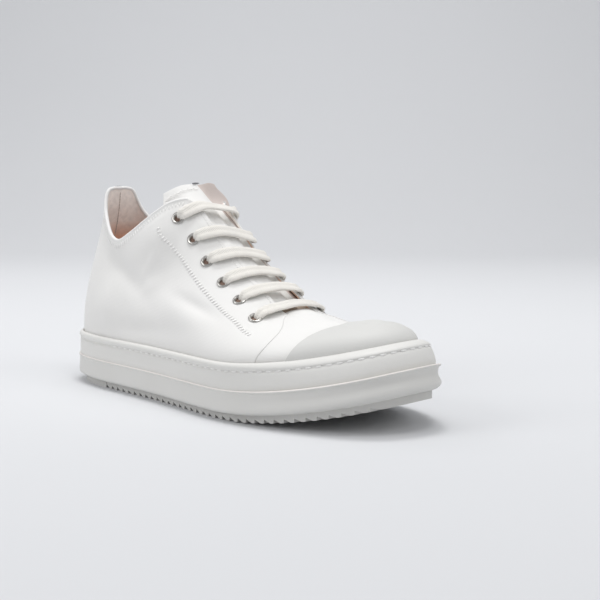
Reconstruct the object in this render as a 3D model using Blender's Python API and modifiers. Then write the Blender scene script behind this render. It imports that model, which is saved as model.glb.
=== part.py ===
"""Low-top canvas sneaker, the right shoe of a pair, standing empty on its sole.

The toe points along +X and the lateral side along -Y. The origin is the middle
of the shoe's box at floor level. Lengths are metres.
"""
import math

import bmesh
import bpy
import numpy as np
from mathutils import Matrix, Vector

# Overall sizes of the shoe
LENGTH = 0.305
WIDTH = 0.114
HEIGHT = 0.144
CLEARANCE = 0.0003

# Sole: heights above the floor before the toe spring lifts them
TREAD_HEIGHT = 0.005
TREAD_INSET = 0.005
TOOTH_DEPTH = 0.0024
TOOTH_PITCH = 0.0068
TOOTH_LAND = 0.0020
TEETH_START = 0.055
TEETH_END_MARGIN = 0.008
LEDGE_HEIGHT = 0.0194
LEDGE_THICKNESS = 0.0010
BAND_HEIGHT = 0.0165
BAND_WALL_HEEL = 0.0036
BAND_WALL_TOE = 0.0155
TOE_BEAD_RISE = 0.0012
TOE_SPRING = 0.0202
SPRING_START = 0.60
AROUND = 64

# Upper, tongue and insole
UPPER_WALL = 0.0020
INSOLE_THICKNESS = 0.0035
INSOLE_TOE_GAP = 0.0012
TONGUE_THICKNESS = 0.0022
THROAT_SHIFT = 0.0030
CAP_BACK = 0.2450
CAP_TOP = 0.056
CAP_LEAN = 0.50
CAP_THICKNESS = 0.0016

# Eyelets and lace
EYELET_HOLE_RADIUS = 0.0021
EYELET_BARREL_WALL = 0.0005
EYELET_FLANGE_RADIUS = 0.0047
EYELET_LIFT = 0.0006
EYELET_FLANGE_HEIGHT = 0.0006
LACE_WIDTH = 0.0076
LACE_THICKNESS = 0.0026
BAR_CREST = 0.0008

# Rows of eyelets from the ankle to the toe, the same on both sides. Columns: rib
# share of the eyelet, its distance below the throat's edge (metres), and how far
# towards the toe the lace bar crosses that edge (rib share)
EYELET_ROWS = (
    (0.376, 0.0147, 0.040),
    (0.436, 0.0190, 0.034),
    (0.482, 0.0185, 0.029),
    (0.533, 0.0175, 0.023),
    (0.585, 0.0182, 0.017),
    (0.639, 0.0200, 0.006),
)

# Sole outline from the heel round the lateral side to the toe and back.
# Columns: along (share of length), across (share of width)
OUTLINE = (
    (0.000, 0.000), (0.022, -0.188), (0.085, -0.307), (0.200, -0.368), (0.330, -0.397),
    (0.480, -0.451), (0.620, -0.502), (0.740, -0.484), (0.850, -0.402), (0.930, -0.300),
    (0.982, -0.140), (1.000, 0.040), (0.985, 0.200), (0.935, 0.328), (0.850, 0.446),
    (0.740, 0.504), (0.620, 0.465), (0.480, 0.375), (0.330, 0.335), (0.200, 0.350),
    (0.085, 0.315), (0.022, 0.185),
)

# Side of the sole below the ledge. Columns: height (share of the ledge's height
# above the tread), step out at the heel, step out at the toe (metres)
WALL_PROFILE = (
    (0.000, -0.0040, -0.0052),
    (0.045, -0.0016, -0.0024),
    (0.135, -0.0004, -0.0004),
    (0.300, 0.0001, 0.0004),
    (0.540, 0.0000, 0.0001),
    (0.780, -0.0003, -0.0005),
    (0.915, -0.0004, -0.0007),
)

# Side of the band above the ledge, up to its rolled bead. Columns: height (share
# of the band's height), step out at the heel, step out at the toe (metres)
BAND_PROFILE = (
    (0.00, -0.0010, -0.0028),
    (0.28, -0.0009, -0.0034),
    (0.56, -0.0010, -0.0050),
    (0.67, -0.0011, -0.0060),
    (0.71, -0.0019, -0.0072),
    (0.75, -0.0013, -0.0064),
    (0.85, -0.0005, -0.0078),
    (0.95, -0.0009, -0.0110),
    (1.00, -0.0022, -0.0140),
)

# Half of the upper, heel to toe. Each row is one rib of the last: it rises from
# the sole at the foot share, and ends at the collar, the throat's edge or, past
# the throat, the shoulder line beside the ridge.
# Columns: foot (share of the way round from heel to toe), along (share of
# length), across (share of width from the centre line), up (share of height),
# rise and drop (shares of the rib's height), swell (share of width), reach
# (share of the way back to the foot)
RIBS = (
    (0.000, 0.0852, 0.000, 0.958, 0.34, 0.30, 0.030, 0.02),
    (0.030, 0.0865, 0.053, 0.957, 0.34, 0.30, 0.028, 0.02),
    (0.060, 0.0890, 0.098, 0.945, 0.34, 0.30, 0.024, 0.03),
    (0.090, 0.0940, 0.130, 0.900, 0.34, 0.30, 0.018, 0.05),
    (0.120, 0.1070, 0.158, 0.841, 0.35, 0.30, 0.014, 0.08),
    (0.150, 0.1345, 0.197, 0.774, 0.35, 0.32, 0.012, 0.12),
    (0.180, 0.1640, 0.228, 0.728, 0.36, 0.34, 0.010, 0.16),
    (0.210, 0.1967, 0.246, 0.7125, 0.36, 0.34, 0.010, 0.20),
    (0.245, 0.2360, 0.246, 0.750, 0.37, 0.34, 0.012, 0.24),
    (0.280, 0.2790, 0.240, 0.808, 0.38, 0.33, 0.014, 0.28),
    (0.315, 0.3180, 0.228, 0.861, 0.39, 0.31, 0.016, 0.30),
    (0.345, 0.3510, 0.204, 0.901, 0.40, 0.27, 0.018, 0.30),
    (0.375, 0.3800, 0.136, 0.917, 0.40, 0.20, 0.018, 0.32),
    (0.400, 0.3970, 0.108, 0.896, 0.40, 0.20, 0.016, 0.34),
    (0.430, 0.4220, 0.105, 0.858, 0.39, 0.20, 0.014, 0.36),
    (0.470, 0.4630, 0.105, 0.768, 0.37, 0.20, 0.012, 0.39),
    (0.510, 0.5070, 0.105, 0.676, 0.35, 0.20, 0.010, 0.42),
    (0.560, 0.5610, 0.105, 0.585, 0.35, 0.19, 0.008, 0.44),
    (0.610, 0.6160, 0.107, 0.512, 0.40, 0.16, 0.006, 0.47),
    (0.655, 0.6660, 0.112, 0.445, 0.50, 0.12, 0.004, 0.50),
    (0.690, 0.7080, 0.108, 0.419, 0.55, 0.10, 0.004, 0.50),
    (0.730, 0.7550, 0.102, 0.400, 0.60, 0.10, 0.002, 0.50),
    (0.770, 0.8020, 0.094, 0.396, 0.60, 0.08, 0.000, 0.50),
    (0.815, 0.8400, 0.082, 0.406, 0.58, 0.06, -0.004, 0.50),
    (0.865, 0.8720, 0.066, 0.415, 0.54, 0.06, -0.008, 0.50),
    (0.930, 0.8960, 0.038, 0.420, 0.52, 0.08, -0.010, 0.48),
    (1.000, 0.9060, 0.000, 0.420, 0.50, 0.10, -0.010, 0.46),
)
THROAT_RIB = 0.655

# Ridge of the vamp and toe, from the throat's corner to the toe.
# Columns: foot share of the rib that ends there, along, up (shares as above)
RIDGE = (
    (0.655, 0.6680, 0.459),
    (0.690, 0.7080, 0.433),
    (0.730, 0.7540, 0.410),
    (0.770, 0.7980, 0.404),
    (0.815, 0.8320, 0.413),
    (0.865, 0.8560, 0.423),
    (0.930, 0.8720, 0.427),
    (1.000, 0.8780, 0.428),
)

# Tongue from its toe end under the vamp to its top edge. TONGUE_ACROSS: where the
# lateral wing, the panel, the crease, its valley and the medial wing lie (shares
# of width). Columns: along (share of length), up (share of height), width (share
# of the places across), how far each place lies below the row (shares of height)
TONGUE_ACROSS = (-0.200, -0.105, -0.035, 0.028, 0.056, 0.105, 0.135)
TONGUE_ROWS = (
    (0.728, 0.368, 1.00, (0.060, 0.018, 0.000, 0.004, 0.020, 0.022, 0.040)),
    (0.676, 0.408, 1.00, (0.080, 0.022, 0.000, 0.006, 0.030, 0.020, 0.050)),
    (0.625, 0.462, 1.00, (0.100, 0.022, 0.000, 0.008, 0.034, 0.016, 0.056)),
    (0.567, 0.546, 1.00, (0.110, 0.018, 0.000, 0.004, 0.028, 0.012, 0.052)),
    (0.512, 0.640, 1.00, (0.120, 0.014, 0.000, 0.002, 0.024, 0.010, 0.056)),
    (0.456, 0.744, 1.00, (0.128, 0.012, 0.000, 0.000, 0.022, 0.012, 0.062)),
    (0.405, 0.842, 0.98, (0.140, 0.014, 0.000, 0.000, 0.020, 0.012, 0.062)),
    (0.372, 0.908, 0.92, (0.110, 0.014, 0.000, 0.002, 0.016, 0.004, 0.040)),
    (0.336, 0.985, 0.86, (0.060, 0.010, 0.000, 0.002, 0.006, -0.004, 0.006)),
)
TONGUE_TOP_LEAN = 0.030


def smooth_step(value, start, end):
    share = min(max((value - start) / (end - start), 0.0), 1.0)
    return share * share * (3.0 - 2.0 * share)


def spring(along):
    """Lift of the sole at a share of the length."""
    past = max(along - SPRING_START, 0.0) / (1.0 - SPRING_START)
    return TOE_SPRING * past * past


def toe_blend(along):
    """0 along the heel and shank, 1 at the toe's end."""
    return smooth_step(along, 0.62, 1.0)


def bead_rise(along):
    """The bead stands a little taller round the toe."""
    return TOE_BEAD_RISE * toe_blend(along)


def throat_shift(along):
    """The instep's centre line lies a little towards the big toe."""
    return THROAT_SHIFT * smooth_step(along, 0.20, 0.36)


def closed_curve(points, count):
    """Closed cubic through the points, read at even steps."""
    points = np.array(points)
    size = len(points)
    steps = np.linalg.norm(np.roll(points, -1, 0) - points, axis=1) ** 0.5
    matrix = np.zeros((size, size))
    right = np.zeros((size, 2))
    for i in range(size):
        before = steps[i - 1]
        after = steps[i]
        matrix[i, i - 1] = before
        matrix[i, i] = 2.0 * (before + after)
        matrix[i, (i + 1) % size] = after
        rise_after = (points[(i + 1) % size] - points[i]) / after
        rise_before = (points[i] - points[i - 1]) / before
        right[i] = 6.0 * (rise_after - rise_before)
    bend = np.linalg.solve(matrix, right)
    ends = np.concatenate([[0.0], np.cumsum(steps)])
    result = []
    for place in np.linspace(0.0, ends[-1], count, endpoint=False):
        i = int(np.searchsorted(ends, place, side="right")) - 1
        step = steps[i]
        near = (place - ends[i]) / step
        far = 1.0 - near
        following = (i + 1) % size
        point = far * points[i] + near * points[following]
        point += ((far ** 3 - far) * bend[i] + (near ** 3 - near) * bend[following]) * step * step / 6.0
        result.append(point)
    return np.array(result)


def read_table(rows, key):
    """Row values at a key in the first column, smoothly between the rows."""
    table = np.array(rows, dtype=float)
    keys = table[:, 0]
    slopes = np.gradient(table[:, 1:], keys, axis=0)
    i = int(np.clip(np.searchsorted(keys, key) - 1, 0, len(keys) - 2))
    step = keys[i + 1] - keys[i]
    t = (key - keys[i]) / step
    before = table[i, 1:]
    after = table[i + 1, 1:]
    return (
        (2 * t ** 3 - 3 * t ** 2 + 1) * before
        + (t ** 3 - 2 * t ** 2 + t) * step * slopes[i]
        + (3 * t ** 2 - 2 * t ** 3) * after
        + (t ** 3 - t ** 2) * step * slopes[i + 1]
    )


def sole_outline(count):
    """Outermost line of the sole seen from above, centred on the origin."""
    ring = closed_curve(OUTLINE, count) * np.array([LENGTH, WIDTH])
    middle = (ring.max(axis=0) + ring.min(axis=0)) / 2.0
    return ring - middle


def step_out(ring, heel_step, toe_step):
    """The outline moved outwards by a step that changes from heel to toe."""
    run = np.roll(ring, -1, 0) - np.roll(ring, 1, 0)
    run /= np.linalg.norm(run, axis=1)[:, None]
    outwards = np.column_stack([run[:, 1], -run[:, 0]])
    blend = np.array([toe_blend(x / LENGTH + 0.5) for x in ring[:, 0]])
    steps = heel_step + (toe_step - heel_step) * blend
    return ring + outwards * steps[:, None]


def lifted(ring, height):
    """Ring of points at a height that follows the toe spring."""
    return [(x, y, height + spring(x / LENGTH + 0.5)) for x, y in ring]


def new_material(name, colour, roughness, metallic=0.0):
    material = bpy.data.materials.new(name)
    material.use_nodes = True
    shader = material.node_tree.nodes["Principled BSDF"]
    shader.inputs["Base Color"].default_value = (*colour, 1.0)
    shader.inputs["Roughness"].default_value = roughness
    shader.inputs["Metallic"].default_value = metallic
    material.diffuse_color = (*colour, 1.0)
    return material


def new_object(name, mesh, collection, material=None):
    piece = bpy.data.objects.new(name, mesh)
    collection.objects.link(piece)
    if material is not None:
        mesh.materials.append(material)
    return piece


def lofted_mesh(name, rings, closed_loop=False):
    """Skin between closed rings of equal length, capped unless it loops round."""
    mesh = bpy.data.meshes.new(name)
    shape = bmesh.new()
    loops = [[shape.verts.new(point) for point in ring] for ring in rings]
    size = len(rings[0])
    count = len(loops)
    for j in range(count if closed_loop else count - 1):
        lower = loops[j]
        upper = loops[(j + 1) % count]
        for i in range(size):
            k = (i + 1) % size
            shape.faces.new((lower[i], lower[k], upper[k], upper[i]))
    if not closed_loop:
        cap_with_rungs(shape, loops[0])
        cap_with_rungs(shape, loops[-1])
    bmesh.ops.recalc_face_normals(shape, faces=shape.faces)
    shape.to_mesh(mesh)
    shape.free()
    return mesh


def cap_with_rungs(shape, loop):
    """Close a ring with strips from one side to the other, so that a cap can bend."""
    half = len(loop) // 2
    for i in range(half):
        corners = [loop[i], loop[i + 1], loop[-i - 1], loop[-i] if i else None]
        if i == half - 1:
            corners[2] = None
        shape.faces.new([corner for corner in corners if corner is not None])


def sheet_mesh(name, rows):
    """Open sheet through rows of points. Equal points are merged."""
    mesh = bpy.data.meshes.new(name)
    shape = bmesh.new()
    grid = [[shape.verts.new(point) for point in row] for row in rows]
    for lower, upper in zip(grid, grid[1:]):
        for i in range(len(lower) - 1):
            shape.faces.new((lower[i], lower[i + 1], upper[i + 1], upper[i]))
    bmesh.ops.remove_doubles(shape, verts=shape.verts, dist=0.00001)
    shape.to_mesh(mesh)
    shape.free()
    return mesh


def smooth_faces(mesh, angle=50.0):
    mesh.shade_smooth()
    mesh.set_sharp_from_angle(angle=math.radians(angle))


def add_boolean(piece, cutter, operation):
    cut = piece.modifiers.new(operation.title(), "BOOLEAN")
    cut.object = cutter
    cut.operation = operation
    cut.solver = "EXACT"


def as_cutter(piece):
    piece.hide_render = True
    piece.display_type = "WIRE"
    return piece


class Last:
    """The upper's outer surface, worked out rib by rib from the tables."""

    FINE = 720

    def __init__(self):
        seat = step_out(sole_outline(self.FINE), -BAND_WALL_HEEL - CLEARANCE, -BAND_WALL_TOE - CLEARANCE)
        toe = int(np.argmax(seat[:, 0]))
        halves = {-1: seat[: toe + 1], 1: np.vstack([seat[toe:], seat[:1]])[::-1]}
        self.feet = {}
        for side, path in halves.items():
            steps = np.linalg.norm(np.diff(path, axis=0), axis=1)
            shares = np.concatenate([[0.0], np.cumsum(steps)]) / steps.sum()
            self.feet[side] = (shares, path)

    def foot(self, side, share):
        shares, path = self.feet[side]
        return np.array([np.interp(share, shares, path[:, 0]), np.interp(share, shares, path[:, 1])])

    def rib(self, side, share):
        """Control points of a rib, from the bead's level to its top."""
        along, across, up, rise, drop, swell, reach = read_table(RIBS, share)
        ground = self.foot(side, share)
        station = ground[0] / LENGTH + 0.5
        level = LEDGE_HEIGHT + BAND_HEIGHT + 2.0 * CLEARANCE + spring(station) + bead_rise(station)
        outwards = ground / np.linalg.norm(ground)
        start = np.array([ground[0], ground[1], level])
        top = np.array([
            (along - 0.5) * LENGTH,
            throat_shift(along) + side * across * WIDTH,
            up * HEIGHT,
        ])
        tall = top[2] - level
        first = start + np.array([outwards[0] * swell * WIDTH, outwards[1] * swell * WIDTH, rise * tall])
        second = top + reach * (start - top)
        second[2] = top[2] - drop * tall
        return start, first, second, top

    def ridge_rib(self, side, share):
        """Control points from the shoulder line to the ridge."""
        second, top = self.rib(side, share)[2:]
        along, up = read_table(RIDGE, share)
        ridge = np.array([(along - 0.5) * LENGTH, throat_shift(along), up * HEIGHT])
        span = np.linalg.norm(ridge - top) / 3.0
        leaving = (top - second) / np.linalg.norm(top - second)
        arriving = (top - ridge) * np.array([1.0, 1.0, 0.0])
        arriving /= max(np.linalg.norm(arriving), 1e-9)
        return top, top + leaving * span, ridge + arriving * span, ridge

    def point(self, side, share, up):
        """Point at a rib share: up runs 0 to 1 over the side, 1 to 2 to the ridge."""
        if up > 1.0:
            controls = self.ridge_rib(side, share)
            t = up - 1.0
        else:
            controls = self.rib(side, share)
            t = up
        a, b, c, d = controls
        return (1 - t) ** 3 * a + 3 * t * (1 - t) ** 2 * b + 3 * t * t * (1 - t) * c + t ** 3 * d

    def normal(self, side, share, up):
        step = 0.004
        high = min(up, 1.0)
        along = self.point(side, share + step, up) - self.point(side, share - step, up)
        rise = self.point(side, share, high) - self.point(side, share, high - step * 4)
        normal = np.cross(along, rise) * -side
        return normal / np.linalg.norm(normal)

    def down_from_edge(self, side, share, distance):
        """Place on a rib at a distance below its top, measured along it."""
        heights = np.linspace(1.0, 0.3, 141)
        path = np.array([self.point(side, share, up) for up in heights])
        run = np.concatenate([[0.0], np.cumsum(np.linalg.norm(np.diff(path, axis=0), axis=1))])
        return float(np.interp(distance, run, heights))


def rib_shares(start, end, count):
    return [start + (end - start) * i / count for i in range(count + 1)]


SIDE_HEIGHTS = (0.0, 0.10, 0.22, 0.36, 0.50, 0.64, 0.78, 0.90, 1.0)
CAP_HEIGHTS = (0.03,) + SIDE_HEIGHTS[1:]
VAMP_HEIGHTS = (1.0, 1.35, 1.68, 2.0)
VAMP_SHARES = rib_shares(THROAT_RIB, 1.0, 11)


def build_midsole(parts, rubber):
    outline = sole_outline(AROUND)
    bottom = TREAD_HEIGHT + CLEARANCE
    tall = LEDGE_HEIGHT - bottom
    rings = []
    for height, heel_step, toe_step in WALL_PROFILE:
        rings.append(lifted(step_out(outline, heel_step, toe_step), bottom + height * tall))
    rings.append(lifted(outline, LEDGE_HEIGHT - LEDGE_THICKNESS))
    rings.append(lifted(outline, LEDGE_HEIGHT))
    mesh = lofted_mesh("midsole", rings)
    smooth_faces(mesh, 35.0)
    new_object("midsole", mesh, parts, rubber)


def build_band(parts, rubber):
    outline = sole_outline(AROUND)
    bottom = LEDGE_HEIGHT + CLEARANCE
    rings = []
    for height, heel_step, toe_step in BAND_PROFILE:
        ring = lifted(step_out(outline, heel_step, toe_step), bottom + height * BAND_HEIGHT)
        rings.append([(x, y, z + height ** 3 * bead_rise(x / LENGTH + 0.5)) for x, y, z in ring])
    inner = step_out(outline, -BAND_WALL_HEEL, -BAND_WALL_TOE)
    rings.append(lifted(inner, bottom + 0.93 * BAND_HEIGHT))
    rings.append(lifted(inner, bottom))
    mesh = lofted_mesh("foxing_band", rings, closed_loop=True)
    smooth_faces(mesh, 35.0)
    new_object("foxing_band", mesh, parts, rubber)


def tread_profiles():
    """Side views of the tread's two parts: the plain heel, and from the first tooth
    on to the toe, whose tip is plain again."""
    back = -LENGTH / 2.0 - 0.01
    start = TEETH_START - LENGTH / 2.0
    heel = [(back, 0.0), (start - CLEARANCE, 0.0), (start - CLEARANCE, TREAD_HEIGHT), (back, TREAD_HEIGHT)]
    lower = []
    place = start
    while place < LENGTH / 2.0 - TREAD_INSET - TEETH_END_MARGIN:
        for ahead, depth in ((0.0, 0.0), (0.0002, TOOTH_DEPTH), (TOOTH_PITCH - TOOTH_LAND, 0.0)):
            lower.append((place + ahead, depth + spring((place + ahead) / LENGTH + 0.5)))
        place += TOOTH_PITCH
    for end in rib_shares(place, LENGTH / 2.0 + 0.01, 3):
        lower.append((end, spring(end / LENGTH + 0.5)))
    upper = []
    for x in rib_shares(LENGTH / 2.0 + 0.01, (SPRING_START - 0.5) * LENGTH, 8):
        upper.append((x, TREAD_HEIGHT + spring(x / LENGTH + 0.5)))
    upper.append((start + 0.0002, TREAD_HEIGHT))
    return {"outsole_heel": heel, "outsole_tread": lower[1:] + upper}


def build_tread(parts, cutters, rubber):
    outline = step_out(sole_outline(AROUND), -TREAD_INSET, -TREAD_INSET)
    tall = TREAD_HEIGHT + TOE_SPRING
    for name, profile in tread_profiles().items():
        mesh = lofted_mesh(name, [[(x, y, z) for x, y in outline] for z in (-0.01, tall + 0.02)])
        tread = new_object(name, mesh, parts, rubber)
        sides = [[(x, y, z) for x, z in profile] for y in (-WIDTH, WIDTH)]
        view = f"{name}_side_view"
        cutter = new_object(view, lofted_mesh(view, sides), cutters)
        add_boolean(tread, as_cutter(cutter), "INTERSECT")


def upper_rows(last):
    """Rows of the upper round the shoe, from the feather edge to the top line."""
    shares = rib_shares(0.0, 0.375, 15)[:-1] + rib_shares(0.375, THROAT_RIB, 10)[:-1]
    shares += VAMP_SHARES
    ribs = [(-1, share) for share in shares] + [(1, share) for share in reversed(shares[1:-1])]
    feather = LEDGE_HEIGHT + 2.0 * CLEARANCE
    base = []
    for side, share in ribs:
        x, y = last.foot(side, share)
        base.append((x, y, feather + spring(x / LENGTH + 0.5)))
    rows = [base]
    for up in SIDE_HEIGHTS:
        rows.append([last.point(side, share, up) for side, share in ribs])
    return [row + row[:1] for row in rows]


def vamp_rows(last):
    ribs = [(-1, share) for share in VAMP_SHARES] + [(1, share) for share in reversed(VAMP_SHARES[:-1])]
    return [[last.point(side, share, up) for side, share in ribs] for up in VAMP_HEIGHTS]


def add_solidify(piece, thickness, offset):
    wall = piece.modifiers.new("Wall", "SOLIDIFY")
    wall.thickness = thickness
    wall.offset = offset
    wall.use_even_offset = True
    wall.use_quality_normals = True


def join_sheets(name, sheets):
    """One open sheet from several that share their edge points."""
    shape = bmesh.new()
    for sheet in sheets:
        shape.from_mesh(sheet)
        bpy.data.meshes.remove(sheet)
    bmesh.ops.remove_doubles(shape, verts=shape.verts, dist=0.00001)
    bmesh.ops.recalc_face_normals(shape, faces=shape.faces)
    mesh = bpy.data.meshes.new(name)
    shape.to_mesh(mesh)
    shape.free()
    return mesh


def build_upper(last, parts, cutters, canvas):
    sheets = [sheet_mesh("upper_side", upper_rows(last)), sheet_mesh("upper_vamp", vamp_rows(last))]
    mesh = join_sheets("upper", sheets)
    smooth_faces(mesh)
    upper = new_object("upper", mesh, parts, canvas)
    add_solidify(upper, UPPER_WALL, -1.0)
    radius = EYELET_HOLE_RADIUS + EYELET_BARREL_WALL + CLEARANCE
    for side, share, up in eyelet_places(last):
        shape = bmesh.new()
        bmesh.ops.create_cone(
            shape, cap_ends=True, segments=10, radius1=radius, radius2=radius, depth=UPPER_WALL * 5.0)
        mesh = bpy.data.meshes.new("eyelet_hole")
        shape.to_mesh(mesh)
        shape.free()
        hole = new_object("eyelet_hole", mesh, cutters)
        hole.matrix_world = eyelet_frame(last, side, share, up)
        add_boolean(upper, as_cutter(hole), "DIFFERENCE")


def lift_sheet(mesh, lift):
    """Move a sheet off itself along its own normals."""
    shape = bmesh.new()
    shape.from_mesh(mesh)
    shape.normal_update()
    moves = [vert.normal * lift for vert in shape.verts]
    for vert, move in zip(shape.verts, moves):
        vert.co += move
    shape.to_mesh(mesh)
    shape.free()


def build_toe_cap(last, parts, cutters, rubber):
    """Rubber cap over the toe: the last's surface, lifted, its back edge leaning back to the sole."""
    shares = VAMP_SHARES[2:]
    ribs = [(-1, share) for share in shares] + [(1, share) for share in reversed(shares[:-1])]
    rows = []
    for up in CAP_HEIGHTS + VAMP_HEIGHTS[1:]:
        rows.append([last.point(side, share, up) for side, share in ribs])
    mesh = join_sheets("toe_cap", [sheet_mesh("toe_cap_sheet", rows)])
    lift_sheet(mesh, CLEARANCE)
    smooth_faces(mesh)
    cap = new_object("toe_cap", mesh, parts, rubber)
    add_solidify(cap, CAP_THICKNESS, 1.0)
    shape = bmesh.new()
    bmesh.ops.create_cube(shape, size=1.0)
    depth = LENGTH - CAP_BACK + 0.02
    centre = CAP_BACK - LENGTH / 2.0 + depth / 2.0
    bmesh.ops.scale(shape, vec=(depth, WIDTH * 1.2, HEIGHT), verts=shape.verts)
    bmesh.ops.translate(shape, vec=(centre, 0.0, HEIGHT / 2.0), verts=shape.verts)
    lean = Matrix.Identity(4)
    lean[0][2] = CAP_LEAN
    lean[0][3] = -CAP_LEAN * CAP_TOP
    bmesh.ops.transform(shape, matrix=lean, verts=shape.verts)
    block = bpy.data.meshes.new("cap_front")
    shape.to_mesh(block)
    shape.free()
    cutter = new_object("cap_front", block, cutters)
    add_boolean(cap, as_cutter(cutter), "INTERSECT")


def tongue_point(row, column):
    """Point on the tongue's outer face, by its row and its place across."""
    along, up, width, falls = TONGUE_ROWS[row]
    across = TONGUE_ACROSS[column] * width
    fall = falls[column]
    lean = 0.0
    if row == len(TONGUE_ROWS) - 1:
        lean = TONGUE_TOP_LEAN * max(across, 0.0) / TONGUE_ACROSS[-1]
    x = (along + lean - fall * 0.35 - 0.5) * LENGTH
    y = throat_shift(along) + across * WIDTH
    return (x, y, (up - fall * 0.75) * HEIGHT)


def build_tongue(parts, canvas):
    rows = []
    for row in range(len(TONGUE_ROWS)):
        rows.append([tongue_point(row, column) for column in range(len(TONGUE_ACROSS))])
    mesh = join_sheets("tongue", [sheet_mesh("tongue_sheet", rows)])
    smooth_faces(mesh)
    tongue = new_object("tongue", mesh, parts, canvas)
    add_solidify(tongue, TONGUE_THICKNESS, -1.0)


def build_insole(parts, lining):
    inset = UPPER_WALL + 3.0 * CLEARANCE
    toe_inset = inset + INSOLE_TOE_GAP
    ring = step_out(sole_outline(AROUND), -BAND_WALL_HEEL - inset, -BAND_WALL_TOE - toe_inset)
    bottom = LEDGE_HEIGHT + CLEARANCE
    rings = [lifted(ring, bottom), lifted(ring, bottom + INSOLE_THICKNESS)]
    mesh = lofted_mesh("insole", rings)
    new_object("insole", mesh, parts, lining)


def eyelet_places(last):
    """Side, rib share and height share of every eyelet."""
    places = []
    for side in (-1, 1):
        for share, from_edge, shift in EYELET_ROWS:
            places.append((side, share, last.down_from_edge(side, share, from_edge)))
    return places


def eyelet_frame(last, side, share, up):
    """Placement on the upper, with Z along the surface's normal."""
    turn = Vector(last.normal(side, share, up)).to_track_quat("Z", "X").to_matrix().to_4x4()
    return Matrix.Translation(Vector(last.point(side, share, up))) @ turn


def eyelet_mesh():
    """Half of the ring's section, turned into a ring by a Screw modifier."""
    bore = EYELET_HOLE_RADIUS
    barrel = bore + EYELET_BARREL_WALL
    under = EYELET_LIFT
    top = EYELET_LIFT + EYELET_FLANGE_HEIGHT
    section = (
        (EYELET_FLANGE_RADIUS, under),
        (barrel, under),
        (barrel, -UPPER_WALL),
        (bore, -UPPER_WALL),
        (bore, top * 0.8),
        (barrel + 0.0006, top),
        (EYELET_FLANGE_RADIUS - 0.0004, top * 0.9),
    )
    shape = bmesh.new()
    verts = [shape.verts.new((radius, 0.0, height)) for radius, height in reversed(section)]
    for i, vert in enumerate(verts):
        shape.edges.new((vert, verts[(i + 1) % len(verts)]))
    mesh = bpy.data.meshes.new("eyelet")
    shape.to_mesh(mesh)
    shape.free()
    return mesh


def build_eyelets(last, parts, metal):
    mesh = eyelet_mesh()
    mesh.materials.append(metal)
    names = {-1: "lateral", 1: "medial"}
    for i, (side, share, up) in enumerate(eyelet_places(last)):
        ring = new_object(f"eyelet_{names[side]}_{i % len(EYELET_ROWS) + 1}", mesh, parts)
        ring.matrix_world = eyelet_frame(last, side, share, up)
        turn = ring.modifiers.new("Turn", "SCREW")
        turn.steps = 12
        turn.render_steps = 12
        turn.use_merge_vertices = True
        turn.merge_threshold = 0.00001
        turn.use_normal_flip = True


def lace_path(last, number):
    """Centre line and upward direction of a bar, from eyelet to eyelet."""
    share, from_edge, shift = EYELET_ROWS[number]
    edge_share = share + shift
    lift = EYELET_LIFT + EYELET_FLANGE_HEIGHT + CLEARANCE + LACE_THICKNESS / 2.0
    ends = []
    for side in (-1, 1):
        up = last.down_from_edge(side, share, from_edge)
        normal = last.normal(side, share, up)
        edge_normal = last.normal(side, edge_share, 0.97)
        halfway_share = (share + edge_share) / 2.0
        halfway = last.down_from_edge(side, halfway_share, from_edge * 0.45)
        middle_normal = last.normal(side, halfway_share, halfway)
        ends.append((
            (last.point(side, share, up) + normal * lift, normal),
            (last.point(side, halfway_share, halfway) + middle_normal * lift, middle_normal),
            (last.point(side, edge_share, 1.0) + edge_normal * lift * 0.92, edge_normal),
        ))
    lateral, medial = ends
    crest = (lateral[2][0] + medial[2][0]) / 2.0
    crest_normal = lateral[2][1] + medial[2][1]
    crest_normal /= np.linalg.norm(crest_normal)
    keys = list(lateral) + [(crest + crest_normal * BAR_CREST, crest_normal)] + list(reversed(medial))
    places = np.array([place for place, direction in keys])
    directions = np.array([direction for place, direction in keys])
    run = np.concatenate([[0.0], np.cumsum(np.linalg.norm(np.diff(places, axis=0), axis=1))])
    path = []
    for distance in np.linspace(0.0, run[-1], 13):
        centre = read_table(np.column_stack([run, places]), distance)
        direction = read_table(np.column_stack([run, directions]), distance)
        path.append((centre, direction / np.linalg.norm(direction)))
    return path


def lace_rings(path, width, thickness, sides=8):
    """Flat oval sections square to the path."""
    centres = np.array([centre for centre, up in path])
    runs = np.gradient(centres, axis=0)
    rings = []
    for (centre, up), run in zip(path, runs):
        run = run / np.linalg.norm(run)
        across = np.cross(up, run)
        across /= np.linalg.norm(across)
        over = np.cross(run, across)
        ring = []
        for i in range(sides):
            angle = 2.0 * math.pi * (i + 0.5) / sides
            sweep = across * math.cos(angle) * width / 2.0
            ring.append(centre + sweep + over * math.sin(angle) * thickness / 2.0)
        rings.append(ring)
    return rings


def build_lace_bars(last, parts, cotton):
    for number in range(len(EYELET_ROWS)):
        rings = lace_rings(lace_path(last, number), LACE_WIDTH, LACE_THICKNESS)
        mesh = lofted_mesh(f"lace_bar_{number + 1}", rings)
        smooth_faces(mesh)
        new_object(f"lace_bar_{number + 1}", mesh, parts, cotton)


def centre_on_floor(parts, cutters):
    """The toe's wall bulges past the outline: move the shoe back by half of that."""
    bulge = max(toe_step for height, heel_step, toe_step in WALL_PROFILE)
    for piece in list(parts.objects) + list(cutters.objects):
        piece.matrix_world = Matrix.Translation((-bulge / 2.0, 0.0, 0.0)) @ piece.matrix_world


def clear_scene():
    for piece in list(bpy.data.objects):
        bpy.data.objects.remove(piece, do_unlink=True)


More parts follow.
